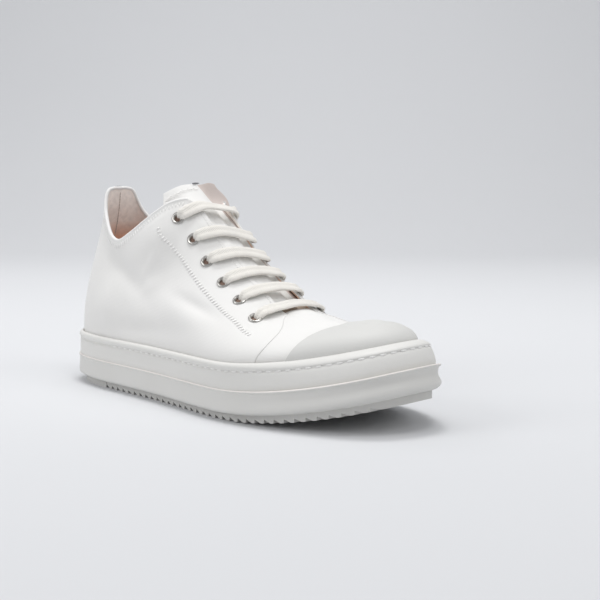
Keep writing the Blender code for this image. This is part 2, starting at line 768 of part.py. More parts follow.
def main():
    clear_scene()
    parts = bpy.data.collections.new("low_top_sneaker")
    cutters = bpy.data.collections.new("cutters")
    for collection in (parts, cutters):
        bpy.context.scene.collection.children.link(collection)
    sole_rubber = new_material("sole_rubber", (0.72, 0.71, 0.69), 0.55)
    tread_rubber = new_material("tread_rubber", (0.66, 0.65, 0.63), 0.60)
    band_rubber = new_material("band_rubber", (0.76, 0.75, 0.73), 0.50)
    cap_rubber = new_material("cap_rubber", (0.73, 0.73, 0.71), 0.50)
    canvas = new_material("upper_canvas", (0.88, 0.88, 0.87), 0.70)
    tongue_canvas = new_material("tongue_canvas", (0.80, 0.76, 0.74), 0.75)
    lining = new_material("insole_lining", (0.50, 0.30, 0.20), 0.80)
    metal = new_material("eyelet_nickel", (0.78, 0.77, 0.75), 0.25, 1.0)
    cotton = new_material("lace_cotton", (0.84, 0.82, 0.78), 0.85)
    last = Last()
    build_tread(parts, cutters, tread_rubber)
    build_midsole(parts, sole_rubber)
    build_band(parts, band_rubber)
    build_insole(parts, lining)
    build_upper(last, parts, cutters, canvas)
    build_toe_cap(last, parts, cutters, cap_rubber)
    build_tongue(parts, tongue_canvas)
    build_eyelets(last, parts, metal)
    build_lace_bars(last, parts, cotton)
    centre_on_floor(parts, cutters)
    bpy.context.view_layer.update()


if __name__ == "__main__":
    main()
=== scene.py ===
"""Low-top canvas sneaker, right shoe: the looks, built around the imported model.

The toe points along +X and the lateral side along -Y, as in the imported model.
Lengths are metres.
"""
import math

import bmesh
import bpy
import numpy as np
from mathutils import Matrix, Vector


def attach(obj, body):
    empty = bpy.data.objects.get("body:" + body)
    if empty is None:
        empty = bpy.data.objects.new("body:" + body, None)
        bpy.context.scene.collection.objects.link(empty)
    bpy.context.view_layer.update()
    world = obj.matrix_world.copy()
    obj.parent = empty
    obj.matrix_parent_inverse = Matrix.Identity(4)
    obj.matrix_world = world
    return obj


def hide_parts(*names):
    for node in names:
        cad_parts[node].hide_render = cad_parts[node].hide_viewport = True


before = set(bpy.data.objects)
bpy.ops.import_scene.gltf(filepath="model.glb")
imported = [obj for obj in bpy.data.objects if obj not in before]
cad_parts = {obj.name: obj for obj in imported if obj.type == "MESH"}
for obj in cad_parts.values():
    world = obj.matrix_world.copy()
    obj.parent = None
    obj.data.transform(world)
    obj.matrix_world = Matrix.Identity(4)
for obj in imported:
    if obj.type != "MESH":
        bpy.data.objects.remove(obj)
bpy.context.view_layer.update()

bl_info = {
    "name": "Low-top sneaker",
    "version": (1, 0, 0),
    "blender": (4, 5, 0),
    "location": "View3D > Sidebar > Sneaker",
    "description": "Builds a low-top canvas sneaker, piece by piece",
    "category": "Add Mesh",
}

# The shoe's tables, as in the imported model. Sole outline from the heel round the
# lateral side to the toe and back: along (share of length), across (share of width)
OUTLINE = (
    (0.000, 0.000), (0.022, -0.188), (0.085, -0.307), (0.200, -0.368), (0.330, -0.397),
    (0.480, -0.451), (0.620, -0.502), (0.740, -0.484), (0.850, -0.402), (0.930, -0.300),
    (0.982, -0.140), (1.000, 0.040), (0.985, 0.200), (0.935, 0.328), (0.850, 0.446),
    (0.740, 0.504), (0.620, 0.465), (0.480, 0.375), (0.330, 0.335), (0.200, 0.350),
    (0.085, 0.315), (0.022, 0.185),
)

# Side of the sole below the ledge: height (share), step out at the heel and the toe
WALL_PROFILE = (
    (0.000, -0.0040, -0.0052), (0.030, -0.0018, -0.0024), (0.090, -0.0006, -0.0008),
    (0.180, 0.0000, 0.0003), (0.300, 0.0001, 0.0004), (0.420, 0.0000, -0.0003),
    (0.540, -0.0002, -0.0013), (0.660, -0.0003, -0.0017), (0.780, -0.0004, -0.0017),
    (0.900, -0.0005, -0.0012), (0.935, -0.0004, -0.0008), (0.948, 0.0000, 0.0000),
    (0.960, 0.0001, 0.0001), (0.992, 0.0001, 0.0001), (1.000, -0.0002, -0.0002),
)

# Band above the ledge up to its rolled bead: height (share), steps as above. The
# dip at 0.71 is the groove that the stitches lie in.
BAND_PROFILE = (
    (0.000, -0.0012, -0.0031), (0.030, -0.0009, -0.0028), (0.280, -0.0009, -0.0034),
    (0.560, -0.0010, -0.0050), (0.655, -0.0011, -0.0058), (0.680, -0.0013, -0.0061),
    (0.700, -0.0017, -0.0066), (0.720, -0.0017, -0.0067), (0.740, -0.0013, -0.0064),
    (0.760, -0.0010, -0.0063), (0.800, -0.0006, -0.0067), (0.860, -0.0004, -0.0080),
    (0.920, -0.0006, -0.0098), (0.965, -0.0012, -0.0116), (0.992, -0.0020, -0.0136),
    (1.000, -0.0028, -0.0148),
)
GROOVE_SHARE = 0.71

# Half of the upper from heel to toe, one row a rib. Columns: foot (share of the
# way round), along, across, up (shares), rise, drop, swell, reach (of its curve)
RIBS = (
    (0.000, 0.0852, 0.000, 0.958, 0.34, 0.30, 0.030, 0.02),
    (0.030, 0.0865, 0.053, 0.957, 0.34, 0.30, 0.028, 0.02),
    (0.060, 0.0890, 0.098, 0.945, 0.34, 0.30, 0.024, 0.03),
    (0.090, 0.0940, 0.130, 0.900, 0.34, 0.30, 0.018, 0.05),
    (0.120, 0.1070, 0.158, 0.841, 0.35, 0.30, 0.014, 0.08),
    (0.150, 0.1345, 0.197, 0.774, 0.35, 0.32, 0.012, 0.12),
    (0.180, 0.1640, 0.228, 0.728, 0.36, 0.34, 0.010, 0.16),
    (0.210, 0.1967, 0.246, 0.7125, 0.36, 0.34, 0.010, 0.20),
    (0.245, 0.2360, 0.246, 0.750, 0.37, 0.34, 0.012, 0.24),
    (0.280, 0.2790, 0.240, 0.808, 0.38, 0.33, 0.014, 0.28),
    (0.315, 0.3180, 0.228, 0.861, 0.39, 0.31, 0.016, 0.30),
    (0.345, 0.3510, 0.204, 0.901, 0.40, 0.27, 0.018, 0.30),
    (0.375, 0.3800, 0.136, 0.917, 0.40, 0.20, 0.018, 0.32),
    (0.400, 0.3970, 0.108, 0.896, 0.40, 0.20, 0.016, 0.34),
    (0.430, 0.4220, 0.105, 0.858, 0.39, 0.20, 0.014, 0.36),
    (0.470, 0.4630, 0.105, 0.768, 0.37, 0.20, 0.012, 0.39),
    (0.510, 0.5070, 0.105, 0.676, 0.35, 0.20, 0.010, 0.42),
    (0.560, 0.5610, 0.105, 0.585, 0.35, 0.19, 0.008, 0.44),
    (0.610, 0.6160, 0.107, 0.512, 0.40, 0.16, 0.006, 0.47),
    (0.655, 0.6660, 0.112, 0.440, 0.50, 0.12, 0.004, 0.50),
    (0.690, 0.7080, 0.108, 0.419, 0.55, 0.10, 0.004, 0.50),
    (0.730, 0.7550, 0.102, 0.400, 0.60, 0.10, 0.002, 0.50),
    (0.770, 0.8020, 0.094, 0.396, 0.60, 0.08, 0.000, 0.50),
    (0.815, 0.8400, 0.082, 0.406, 0.58, 0.06, -0.004, 0.50),
    (0.865, 0.8720, 0.066, 0.415, 0.54, 0.06, -0.008, 0.50),
    (0.930, 0.8960, 0.038, 0.420, 0.52, 0.08, -0.010, 0.48),
    (1.000, 0.9060, 0.000, 0.420, 0.50, 0.10, -0.010, 0.46),
)
FLAP_RIB = 0.375
THROAT_RIB = 0.655

# The two sides of a signed rib share
SIDES = {-1: "lateral", 1: "medial"}

# Ridge of the vamp and toe: foot share of its rib, along, up
RIDGE = (
    (0.655, 0.6680, 0.447), (0.690, 0.7080, 0.433), (0.730, 0.7540, 0.410),
    (0.770, 0.7980, 0.404), (0.815, 0.8320, 0.413), (0.865, 0.8560, 0.423),
    (0.930, 0.8720, 0.427), (1.000, 0.8780, 0.428),
)

# Seam where the quarters lie over the vamp: height on the rib, rib share
VAMP_SEAM = (
    (-0.30, 0.706), (0.00, 0.709), (0.30, 0.717), (0.51, 0.713), (0.72, 0.698),
    (0.85, 0.680), (0.94, 0.667), (1.00, 0.661),
)

# Tongue from its toe end to its top edge: along, up, width (share of the places
# across), how far each place lies below the row (shares of height). The last
# place of the top row reaches less far.
TONGUE_ACROSS = (-0.200, -0.105, -0.035, 0.028, 0.056, 0.105, 0.140, 0.190)
TONGUE_ROWS = (
    (0.728, 0.368, 1.00, (0.060, 0.018, 0.000, 0.004, 0.020, 0.022, 0.040, 0.070)),
    (0.676, 0.420, 1.00, (0.080, 0.012, 0.000, 0.004, 0.016, 0.008, 0.024, 0.070)),
    (0.625, 0.482, 1.00, (0.100, 0.006, 0.000, 0.004, 0.014, 0.006, 0.020, 0.080)),
    (0.567, 0.570, 1.00, (0.110, 0.004, 0.000, 0.002, 0.012, 0.004, 0.018, 0.090)),
    (0.512, 0.666, 1.00, (0.120, 0.003, 0.000, 0.002, 0.012, 0.004, 0.018, 0.095)),
    (0.456, 0.768, 1.00, (0.128, 0.002, 0.000, 0.000, 0.012, 0.004, 0.018, 0.095)),
    (0.405, 0.858, 1.02, (0.140, 0.004, 0.000, 0.000, 0.010, 0.002, 0.010, 0.040)),
    (0.372, 0.908, 1.06, (0.110, 0.014, 0.000, 0.002, 0.008, 0.000, 0.000, 0.000)),
    (0.336, 0.985, 0.86, (0.060, 0.010, 0.000, 0.002, 0.006, -0.004, 0.004, 0.016)),
)
TONGUE_TOP_REACH = 0.150
TONGUE_TOP_LEAN = 0.030

# Eyelet rows from the ankle to the toe: rib share, distance below the throat's
# edge (metres), how far along the edge the lace crosses it (rib share)
EYELET_ROWS = (
    (0.376, 0.0147, 0.040), (0.436, 0.0190, 0.034), (0.482, 0.0185, 0.029),
    (0.533, 0.0175, 0.023), (0.585, 0.0182, 0.017), (0.639, 0.0200, 0.006),
)

# How much further towards the toe the lace crosses the medial edge of the throat
MEDIAL_LACE_REACH = 1.45

# Soft dents and ridges of the quarters: side (-1 lateral), rib
# share, height on the rib, half length along and up (metres), turn (degrees, from
# along the foot towards up), depth (metres, a ridge where it is positive)
DENTS = (
    (-1, 0.218, 0.30, 0.015, 0.018, 0, 0.0022),
    (-1, 0.205, 0.74, 0.012, 0.012, 0, -0.0012),
    (-1, 0.262, 0.56, 0.030, 0.007, 127, -0.0020),
    (-1, 0.350, 0.74, 0.030, 0.013, 0, 0.0026),
    (-1, 0.370, 0.42, 0.030, 0.018, 0, -0.0042),
    (-1, 0.335, 0.54, 0.012, 0.0040, 24, 0.0007),
    (-1, 0.360, 0.37, 0.014, 0.0050, 14, 0.0006),
    (-1, 0.505, 0.42, 0.020, 0.0045, 10, -0.0016),
    (-1, 0.485, 0.28, 0.028, 0.0080, 4, 0.0010),
    (-1, 0.330, 0.08, 0.050, 0.0060, 0, -0.0010),
    (1, 0.218, 0.32, 0.015, 0.018, 0, 0.0020),
    (1, 0.265, 0.56, 0.028, 0.008, 125, -0.0014),
    (1, 0.350, 0.72, 0.028, 0.013, 0, 0.0016),
    (1, 0.375, 0.42, 0.028, 0.018, 0, -0.0024),
    (1, 0.490, 0.42, 0.020, 0.0050, 8, -0.0015),
    (1, 0.470, 0.28, 0.028, 0.0080, 4, 0.0009),
    (1, 0.320, 0.08, 0.045, 0.0060, 0, -0.0010),
)

# Seam of the eyestay, from the ankle to the toe: rib share, height on the rib
EYESTAY_SEAM = (
    (0.335, 0.830), (0.349, 0.725), (0.365, 0.650), (0.390, 0.605), (0.430, 0.580),
    (0.480, 0.571), (0.530, 0.565), (0.580, 0.543), (0.620, 0.518), (0.645, 0.491),
    (0.665, 0.466),
)

# Rows of stitches: pitch, length and width (metres), turn from the row (degrees),
# lift off the cloth (metres). The heel tab's seam shows on its inside.
TAB_ROW = (0.0020, 0.0024, 0.0008, 0, -0.0021)
EYESTAY_ROW = (0.0026, 0.0032, 0.0012, 80, 0.00025)
COLLAR_ROW = (0.0024, 0.0032, 0.0009, 76, 0.0001)
FACING_ROW = (0.0024, 0.0019, 0.0005, 0, 0.0003)
BAND_ROW_ENDS = -0.083

# Points round a ring of the sole, and the canvas thread as it is drawn (metres)
RING_POINTS = 360
CANVAS_THREAD = 0.0009

# The photograph's camera: round from the lateral side, above the floor, its place
CAMERA_AROUND = math.radians(43.556)
CAMERA_ABOVE = math.radians(6.589)
CAMERA_PLACE = (0.56996, -0.54192, 0.15704)

# Softboxes: across to the camera's right, near to it, height and size (metres),
# power (watts), whether it lights the paper instead of the shoe
SOFTBOXES = (
    ("softbox_over", 0.0, -0.15, 2.0, 0.40, 8.5, False),
    ("softbox_front", 0.4, 0.6, 1.9, 0.5, 6.8, False),
    ("softbox_left", -1.4, 0.6, 1.0, 0.9, 7.6, False),
    ("softbox_right", 1.3, 0.7, 1.2, 0.9, 4.4, False),
    ("softbox_behind", -0.9, -0.8, 1.3, 0.7, 2.0, False),
    ("softbox_paper", 0.0, -0.3, 1.6, 1.0, 12.0, True),
)
AIR_STRENGTH = 0.47


def metres(name, description, default):
    """A length of the add-on's settings."""
    return bpy.props.FloatProperty(name=name, description=description, default=default, unit="LENGTH")


def hex_code(name, description, default):
    """A colour of the add-on's settings."""
    return bpy.props.StringProperty(name=name, description=description + ", sRGB hex", default=default)


class SneakerSizes(bpy.types.PropertyGroup):
    length: metres("Sole length", "Length along the sole's ledge", 0.305)
    width: metres("Sole width", "Widest part of the sole", 0.114)
    height: metres("Height", "Floor to the top of the tongue", 0.144)
    tread_height: metres("Tread height", "Thickness of the toothed tread", 0.005)
    ledge_height: metres("Ledge height", "Floor to the sole's ledge", 0.0194)
    band_height: metres("Band height", "Ledge to the top of the bead", 0.0165)
    band_wall_heel: metres("Band at the heel", "Outline to the upper at the heel", 0.0036)
    band_wall_toe: metres("Band at the toe", "Outline to the upper at the toe", 0.0155)
    toe_spring: metres("Toe spring", "Lift of the sole at the toe", 0.0202)
    bead_rise: metres("Bead rise", "How much taller the bead is at the toe", 0.0012)
    # The ledge line's pale colour is a painted highlight along the ledge's lip.
    ledge_line: metres("Ledge line", "Radius of the pale line along the ledge", 0.00055)
    sunk: metres("Sunk", "How far a piece sinks into the one that it stands on", 0.0002)
    clearance: metres("Clearance", "Gap between glued pieces", 0.0003)
    canvas: metres("Canvas", "Thickness of the outer canvas", 0.0011)
    lining: metres("Lining", "Thickness of the lining", 0.0006)
    collar_roll: metres("Collar roll", "Radius of the collar's rolled edge", 0.0013)
    throat_shift: metres("Throat shift", "Throat's offset to the big toe", 0.003)
    cap_back: metres("Toe cap start", "Heel to the toe cap's back edge", 0.245)
    cap_top: metres("Toe cap edge height", "Height at which that edge is measured", 0.056)
    cap_lean: bpy.props.FloatProperty(
        name="Toe cap lean", description="How far the edge leans back for each length down", default=0.5)
    cap_thickness: metres("Toe cap thickness", "Rubber of the toe cap", 0.0016)
    tongue_thickness: metres("Tongue thickness", "Two layers of canvas", 0.0020)
    eyelet_radius: metres("Eyelet radius", "Outer radius of the rim", 0.0045)
    eyelet_hole: metres("Eyelet hole", "Radius of the hole", 0.0024)
    lace_width: metres("Lace width", "Width of the flat lace", 0.0088)
    lace_thickness: metres("Lace thickness", "Thickness of the flat lace", 0.0027)


class SneakerColours(bpy.types.PropertyGroup):
    canvas: hex_code("Canvas", "Outer canvas", "ECEBE9")
    canvas_shade: hex_code("Canvas shade", "Its second tone", "E7E6E3")
    tongue_shade: hex_code("Tongue shade", "Second tone of the tongue's canvas", "EDECE9")
    tongue_back: hex_code("Tongue wing", "Beige medial wing of the tongue", "CFC3BD")
    # Painted shade: the tan of the tongue's toe end, where it lies deep below the vamp's edge.
    tongue_end_painted_shade: hex_code("Tongue end", "Tan toe end of the tongue", "B8A696")
    lining: hex_code("Lining", "Lining near the collar", "F6ECE4")
    # Lining below: its own deeper tone together with painted shade inside the shoe.
    lining_below_tone_and_shade: hex_code("Lining below", "Lining inside the shoe", "E8BEA6")
    # Painted shade: the dark brown put in the lace holes, where they lie in shadow.
    hole: hex_code("Lace holes", "Lining behind the eyelets", "80695D")
    band: hex_code("Band", "Band and bead", "E4E3E0")
    band_shade: hex_code("Band shade", "Its second tone", "DCDBD7")
    sole: hex_code("Sole", "Side wall of the sole", "DEDDDA")
    sole_shade: hex_code("Sole shade", "Its second tone", "D6D5D1")
    # The ledge line's two tones are lighter than the sole's: a painted highlight along the ledge's lip.
    ledge: hex_code("Ledge line", "Pale line along the ledge", "F3EFEC")
    ledge_highlight_tone: hex_code("Ledge line shade", "Its second tone", "F1EBE7")
    tread: hex_code("Tread", "Toothed tread", "CFCECB")
    tread_shade: hex_code("Tread shade", "Its second tone", "C4C3BF")
    cap: hex_code("Toe cap", "Rubber toe cap", "D8D8D5")
    cap_shade: hex_code("Toe cap shade", "Its second tone", "D2D1CE")
    lace: hex_code("Lace", "Cotton lace", "F0EDE7")
    lace_shade: hex_code("Lace shade", "Its second tone", "E6E2DA")
    nickel: hex_code("Eyelets", "Nickel plate", "C9C7C3")
    nickel_shade: hex_code("Eyelets, dull", "Nickel plate where it is dull", "A9A7A3")
    thread: hex_code("Thread", "Stitches of the upper", "F3F2F0")
    sole_thread: hex_code("Sole thread", "Stitches of the band", "EDECEA")
    tack: hex_code("Tacks", "Dark thread tacks", "4A4A50")
    paper: hex_code("Paper", "Floor and backdrop", "DADBDD")
    paper_shade: hex_code("Paper shade", "Its second tone", "D8D9DB")
    air: hex_code("Studio", "Light from all round", "F2F3F6")


def sizes():
    """The shoe's sizes, as set in the panel."""
    return bpy.context.scene.sneaker_sizes


def colours():
    """The shoe's colours, as set in the panel."""
    return bpy.context.scene.sneaker_colours


def linear(hex_colour):
    """sRGB hex as a linear colour with alpha."""
    channels = [int(hex_colour[i:i + 2], 16) / 255.0 for i in (0, 2, 4)]
    return tuple(c / 12.92 if c <= 0.04045 else ((c + 0.055) / 1.055) ** 2.4 for c in channels) + (1.0,)


def smooth_step(value, start, end):
    """0 up to the start, 1 from the end on, and a smooth rise between them."""
    share = np.clip((value - start) / (end - start), 0.0, 1.0)
    return share * share * (3.0 - 2.0 * share)


def unit(vectors):
    """Vectors of length one."""
    return vectors / np.maximum(np.linalg.norm(vectors, axis=-1), 1e-12)[..., None]


def run_lengths(points):
    """Length along a polyline at each of its points."""
    return np.concatenate([[0.0], np.cumsum(np.linalg.norm(np.diff(points, axis=0), axis=1))])


def spring(along):
    """Lift of the sole at a share of the length."""
    past = np.maximum(along - 0.6, 0.0) / 0.4
    return sizes().toe_spring * past * past


def toe_blend(along):
    """0 up to the waist and 1 at the toe, for what changes along the foot."""
    return smooth_step(along, 0.62, 1.0)


def bead_rise(along):
    """The bead stands a little taller round the toe."""
    return sizes().bead_rise * toe_blend(along)


def closed_curve(points, count):
    """Closed cubic through the points, read at even steps."""
    points = np.array(points)
    size = len(points)
    steps = np.linalg.norm(np.roll(points, -1, 0) - points, axis=1) ** 0.5
    matrix = np.zeros((size, size))
    right = np.zeros((size, 2))
    for i in range(size):
        before = steps[i - 1]
        after = steps[i]
        matrix[i, i - 1] = before
        matrix[i, i] = 2.0 * (before + after)
        matrix[i, (i + 1) % size] = after
        rise_after = (points[(i + 1) % size] - points[i]) / after
        rise_before = (points[i] - points[i - 1]) / before
        right[i] = 6.0 * (rise_after - rise_before)
    bend = np.linalg.solve(matrix, right)
    ends = np.concatenate([[0.0], np.cumsum(steps)])
    places = np.linspace(0.0, ends[-1], count, endpoint=False)
    index = np.searchsorted(ends, places, side="right") - 1
    following = (index + 1) % size
    step = steps[index][:, None]
    near = ((places - ends[index]) / steps[index])[:, None]
    far = 1.0 - near
    result = far * points[index] + near * points[following]
    return result + ((far ** 3 - far) * bend[index] + (near ** 3 - near) * bend[following]) * step ** 2 / 6.0


def read_table(rows, keys_wanted):
    """Columns of a table at the given values of its first column, smoothly."""
    table = np.array(rows, dtype=float)
    keys = table[:, 0]
    slopes = np.gradient(table[:, 1:], keys, axis=0)
    wanted = np.atleast_1d(keys_wanted)
    i = np.clip(np.searchsorted(keys, wanted) - 1, 0, len(keys) - 2)
    step = (keys[i + 1] - keys[i])[:, None]
    t = (wanted - keys[i])[:, None] / step
    return (
        (2 * t ** 3 - 3 * t ** 2 + 1) * table[i, 1:]
        + (t ** 3 - 2 * t ** 2 + t) * step * slopes[i]
        + (3 * t ** 2 - 2 * t ** 3) * table[i + 1, 1:]
        + (t ** 3 - t ** 2) * step * slopes[i + 1]
    )


def box_shift():
    """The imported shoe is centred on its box, which the toe's bulge makes longer."""
    return -max(row[2] for row in WALL_PROFILE) / 2.0


def sole_outline(count):
    """Outermost line of the sole seen from above."""
    size = sizes()
    ring = closed_curve(OUTLINE, count) * np.array([size.length, size.width])
    return ring - (ring.max(axis=0) + ring.min(axis=0)) / 2.0


def step_out(ring, heel_step, toe_step):
    """The outline moved outwards by a step that changes from heel to toe."""
    run = unit(np.roll(ring, -1, 0) - np.roll(ring, 1, 0))
    outwards = np.column_stack([run[:, 1], -run[:, 0]])
    blend = toe_blend(ring[:, 0] / sizes().length + 0.5)
    return ring + outwards * (heel_step + (toe_step - heel_step) * blend)[:, None]


def lifted(ring, height):
    """Ring of points at a height that follows the toe spring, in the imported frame."""
    heights = height + spring(ring[:, 0] / sizes().length + 0.5)
    return np.column_stack([ring[:, 0] + box_shift(), ring[:, 1], heights])


def bezier(controls, t):
    """Points of cubic curves with four control points."""
    a, b, c, d = controls
    return (1 - t) ** 3 * a + 3 * t * (1 - t) ** 2 * b + 3 * t * t * (1 - t) * c + t ** 3 * d


class Last:
    """The upper's outer surface. A share is signed: negative on the lateral side."""

    STEPS = 480

    def __init__(self):
        size = sizes()
        seat = step_out(
            sole_outline(720), -size.band_wall_heel - size.clearance, -size.band_wall_toe - size.clearance)
        toe = int(np.argmax(seat[:, 0]))
        paths = {-1: seat[: toe + 1], 1: np.vstack([seat[toe:], seat[:1]])[::-1]}
        shares = np.linspace(0.0, 1.0, self.STEPS + 1)
        self.sides = {side: self.side_controls(side, paths[side], shares) for side in (-1, 1)}

    def side_controls(self, side, path, shares):
        """Control points of every rib, and of its run to the ridge. The tongue's wing
        pushes the medial corner of the throat outwards and down."""
        size = sizes()
        run = run_lengths(path) / run_lengths(path)[-1]
        ground = np.column_stack([np.interp(shares, run, path[:, k]) for k in (0, 1)])
        along, across, up, rise, drop, swell, reach = read_table(RIBS, shares).T
        if side > 0:
            pushed = np.exp(-((shares - 0.370) / 0.030) ** 2)
            across = across + 0.030 * pushed
            up = up - 0.024 * pushed
        at_ground = ground[:, 0] / size.length + 0.5
        level = size.ledge_height + size.band_height + 2.0 * size.clearance
        level = level + spring(at_ground) + bead_rise(at_ground)
        outwards = unit(ground)
        start = np.column_stack([ground, level])
        shift = size.throat_shift * smooth_step(along, 0.20, 0.36)
        top = np.column_stack([
            (along - 0.5) * size.length, shift + side * across * size.width, up * size.height])
        tall = top[:, 2] - level
        first = start + np.column_stack([outwards * (swell * size.width)[:, None], rise * tall])
        second = top + reach[:, None] * (start - top)
        second[:, 2] = top[:, 2] - drop * tall
        far_along, far_up = read_table(RIDGE, np.maximum(shares, THROAT_RIB)).T
        far_shift = size.throat_shift * smooth_step(far_along, 0.20, 0.36)
        ridge = np.column_stack([(far_along - 0.5) * size.length, far_shift, far_up * size.height])
        span = np.linalg.norm(ridge - top, axis=1)[:, None] / 3.0
        leaving = unit(top - second)
        arriving = unit((top - ridge) * np.array([1.0, 1.0, 0.0]))
        rib = np.stack([start, first, second, top])
        crown = np.stack([top, top + leaving * span, ridge + arriving * span, ridge])
        rib[:, :, 0] += box_shift()
        crown[:, :, 0] += box_shift()
        return rib, crown

    def skin(self, share, up):
        """Points for arrays of signed shares and heights: 0 to 1 on the side, 1 to 2
        over to the ridge, and below 0 straight down behind the band."""
        share, up = np.broadcast_arrays(np.asarray(share, float), np.asarray(up, float))
        result = np.zeros(share.shape + (3,))
        for side, (rib, crown) in self.sides.items():
            mine = (share < 0) if side < 0 else (share >= 0)
            place = np.clip(np.abs(share[mine]), 0.0, 1.0) * self.STEPS
            i = np.minimum(place.astype(int), self.STEPS - 1)
            t = (place - i)[:, None]
            side_controls = rib[:, i] * (1 - t) + rib[:, i + 1] * t
            crown_controls = crown[:, i] * (1 - t) + crown[:, i + 1] * t
            height = up[mine][:, None]
            points = bezier(side_controls, np.clip(height, 0.0, 1.0))
            over = bezier(crown_controls, np.clip(height - 1.0, 0.0, 1.0))
            points = np.where(height > 1.0, over, points)
            points[:, 2] += np.minimum(height[:, 0], 0.0) * 0.06
            result[mine] = points
        return result

    def normal(self, share, up):
        """Outward normals at single places or arrays."""
        share, up = np.broadcast_arrays(np.asarray(share, float), np.asarray(up, float))
        step = 0.003
        along = self.skin(share + step, up) - self.skin(share - step, up)
        high = np.minimum(up, 0.995)
        rise = self.skin(share, high + step) - self.skin(share, high - step * 3)
        return unit(np.cross(rise, along))

    def down_from_edge(self, share, distance):
        """Height on a rib at a distance below its top, measured along it."""
        heights = np.linspace(1.0, 0.3, 141)
        path = self.skin(np.full(141, share), heights)
        return float(np.interp(distance, run_lengths(path), heights))


def grid_normals(points):
    """Unit normals of a grid of points, along the cross of its two directions."""
    return unit(np.cross(np.gradient(points, axis=0), np.gradient(points, axis=1)))


def new_mesh(name, shape):
    """Writes a bmesh to a new mesh and frees it."""
    mesh = bpy.data.meshes.new(name)
    shape.to_mesh(mesh)
    shape.free()
    return mesh


def grid_mesh(name, points, uv=None, flip=False):
    """Mesh of a grid of points: a flat grid whose vertices are moved to them."""
    rows, columns = points.shape[:2]
    shape = bmesh.new()
    bmesh.ops.create_grid(shape, x_segments=rows - 1, y_segments=columns - 1, size=0.5)
    places = {}
    for vert in shape.verts:
        i = round((vert.co.x + 0.5) * (rows - 1))
        j = round((vert.co.y + 0.5) * (columns - 1))
        places[vert] = (i, j)
    if uv is not None:
        layer = shape.loops.layers.uv.new("cloth")
        for face in shape.faces:
            for loop in face.loops:
                loop[layer].uv = uv[places[loop.vert]]
    for vert, place in places.items():
        vert.co = points[place]
    if flip:
        bmesh.ops.reverse_faces(shape, faces=shape.faces)
    bmesh.ops.remove_doubles(shape, verts=shape.verts, dist=0.00002)
    bmesh.ops.dissolve_degenerate(shape, edges=shape.edges, dist=0.000001)
    return new_mesh(name, shape)


def cloth_uv(points):
    """Place on the cloth in metres, from the lengths of the grid's own lines."""
    along = np.linalg.norm(np.diff(points, axis=0), axis=2)
    rise = np.linalg.norm(np.diff(points, axis=1), axis=2)
    u = np.zeros(points.shape[:2])
    v = np.zeros(points.shape[:2])
    u[1:] = np.cumsum(along.mean(axis=1))[:, None]
    v[:, 1:] = np.cumsum(rise, axis=1)
    return np.stack([u, v], axis=-1)


def add_piece(name, mesh, material, replaced=(), angle=None):
    """Object at the origin that rides on the shoe's one body."""
    piece = bpy.data.objects.new(name, mesh)
    bpy.context.scene.collection.objects.link(piece)
    if material is not None:
        mesh.materials.append(material)
    mesh.shade_smooth()
    if angle is not None:
        mesh.set_sharp_from_angle(angle=math.radians(angle))
    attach(piece, "root")
    if replaced:
        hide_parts(*replaced)
    return piece


def add_wall(piece, thickness, offset, rim=0.0):
    """Gives a sheet its thickness, with its cut edges rounded."""
    wall = piece.modifiers.new("Wall", "SOLIDIFY")
    wall.thickness = thickness
    wall.offset = offset
    wall.use_quality_normals = True
    if rim:
        edge = piece.modifiers.new("Rounded edge", "BEVEL")
        edge.width = rim
        edge.segments = 2
        edge.limit_method = "ANGLE"
        edge.angle_limit = math.radians(55.0)


def add_node(tree, kind, inputs=None, **settings):
    """A node with its settings. An input is a value, or an output to link it to."""
    made = tree.nodes.new(kind)
    for name, value in settings.items():
        setattr(made, name, value)
    for socket, value in (inputs or {}).items():
        if isinstance(value, bpy.types.NodeSocket):
            tree.links.new(value, made.inputs[socket])
        else:
            made.inputs[socket].default_value = value
    return made


def new_finish(name, roughness, **sockets):
    """Material with its Principled shader. Sockets are named with underscores."""
    material = bpy.data.materials.new(name)
    material.use_nodes = True
    tree = material.node_tree
    shader = tree.nodes["Principled BSDF"]
    shader.inputs["Roughness"].default_value = roughness
    for socket, value in sockets.items():
        shader.inputs[socket.replace("_", " ")].default_value = value
    return material, tree, shader


def object_place(tree):
    """Places on the object itself, for patterns without a UV."""
    return add_node(tree, "ShaderNodeTexCoord").outputs["Object"]


def noise(tree, place, scale, detail):
    """Soft random pattern between 0 and 1."""
    return add_node(
        tree, "ShaderNodeTexNoise", {"Vector": place, "Scale": scale, "Detail": detail}).outputs["Fac"]


def remap(tree, value, low, high, start=0.0, end=1.0):
    """Stretches the range from start to end onto the one from low to high."""
    return add_node(
        tree, "ShaderNodeMapRange",
        {"Value": value, "From Min": start, "From Max": end, "To Min": low, "To Max": high}).outputs["Result"]


def maths(tree, operation, *values):
    """Sum, product or the like of outputs and numbers."""
    return add_node(tree, "ShaderNodeMath", dict(enumerate(values)), operation=operation).outputs[0]


def mix_colours(tree, share, first, second):
    """First colour where the share is 0, second where it is 1."""
    return add_node(
        tree, "ShaderNodeMix", {"Factor": share, "A": first, "B": second}, data_type="RGBA").outputs["Result"]


def mottled(tree, place, first, second, scale, detail=4.0):
    """Two close colours in soft patches of a size given by the noise's scale."""
    return mix_colours(tree, noise(tree, place, scale, detail), linear(first), linear(second))


def bump(tree, height, distance, strength, under=None):
    """Relief of a pattern at most so many metres deep, over another relief if given."""
    inputs = {"Height": height, "Distance": distance, "Strength": strength}
    if under:
        inputs["Normal"] = under
    return add_node(tree, "ShaderNodeBump", inputs).outputs["Normal"]


def join(tree, shader, colour=None, normal=None, rough=None):
    """Links finished patterns to the shader."""
    for socket, output in (("Base Color", colour), ("Normal", normal), ("Roughness", rough)):
        if output:
            tree.links.new(output, shader.inputs[socket])


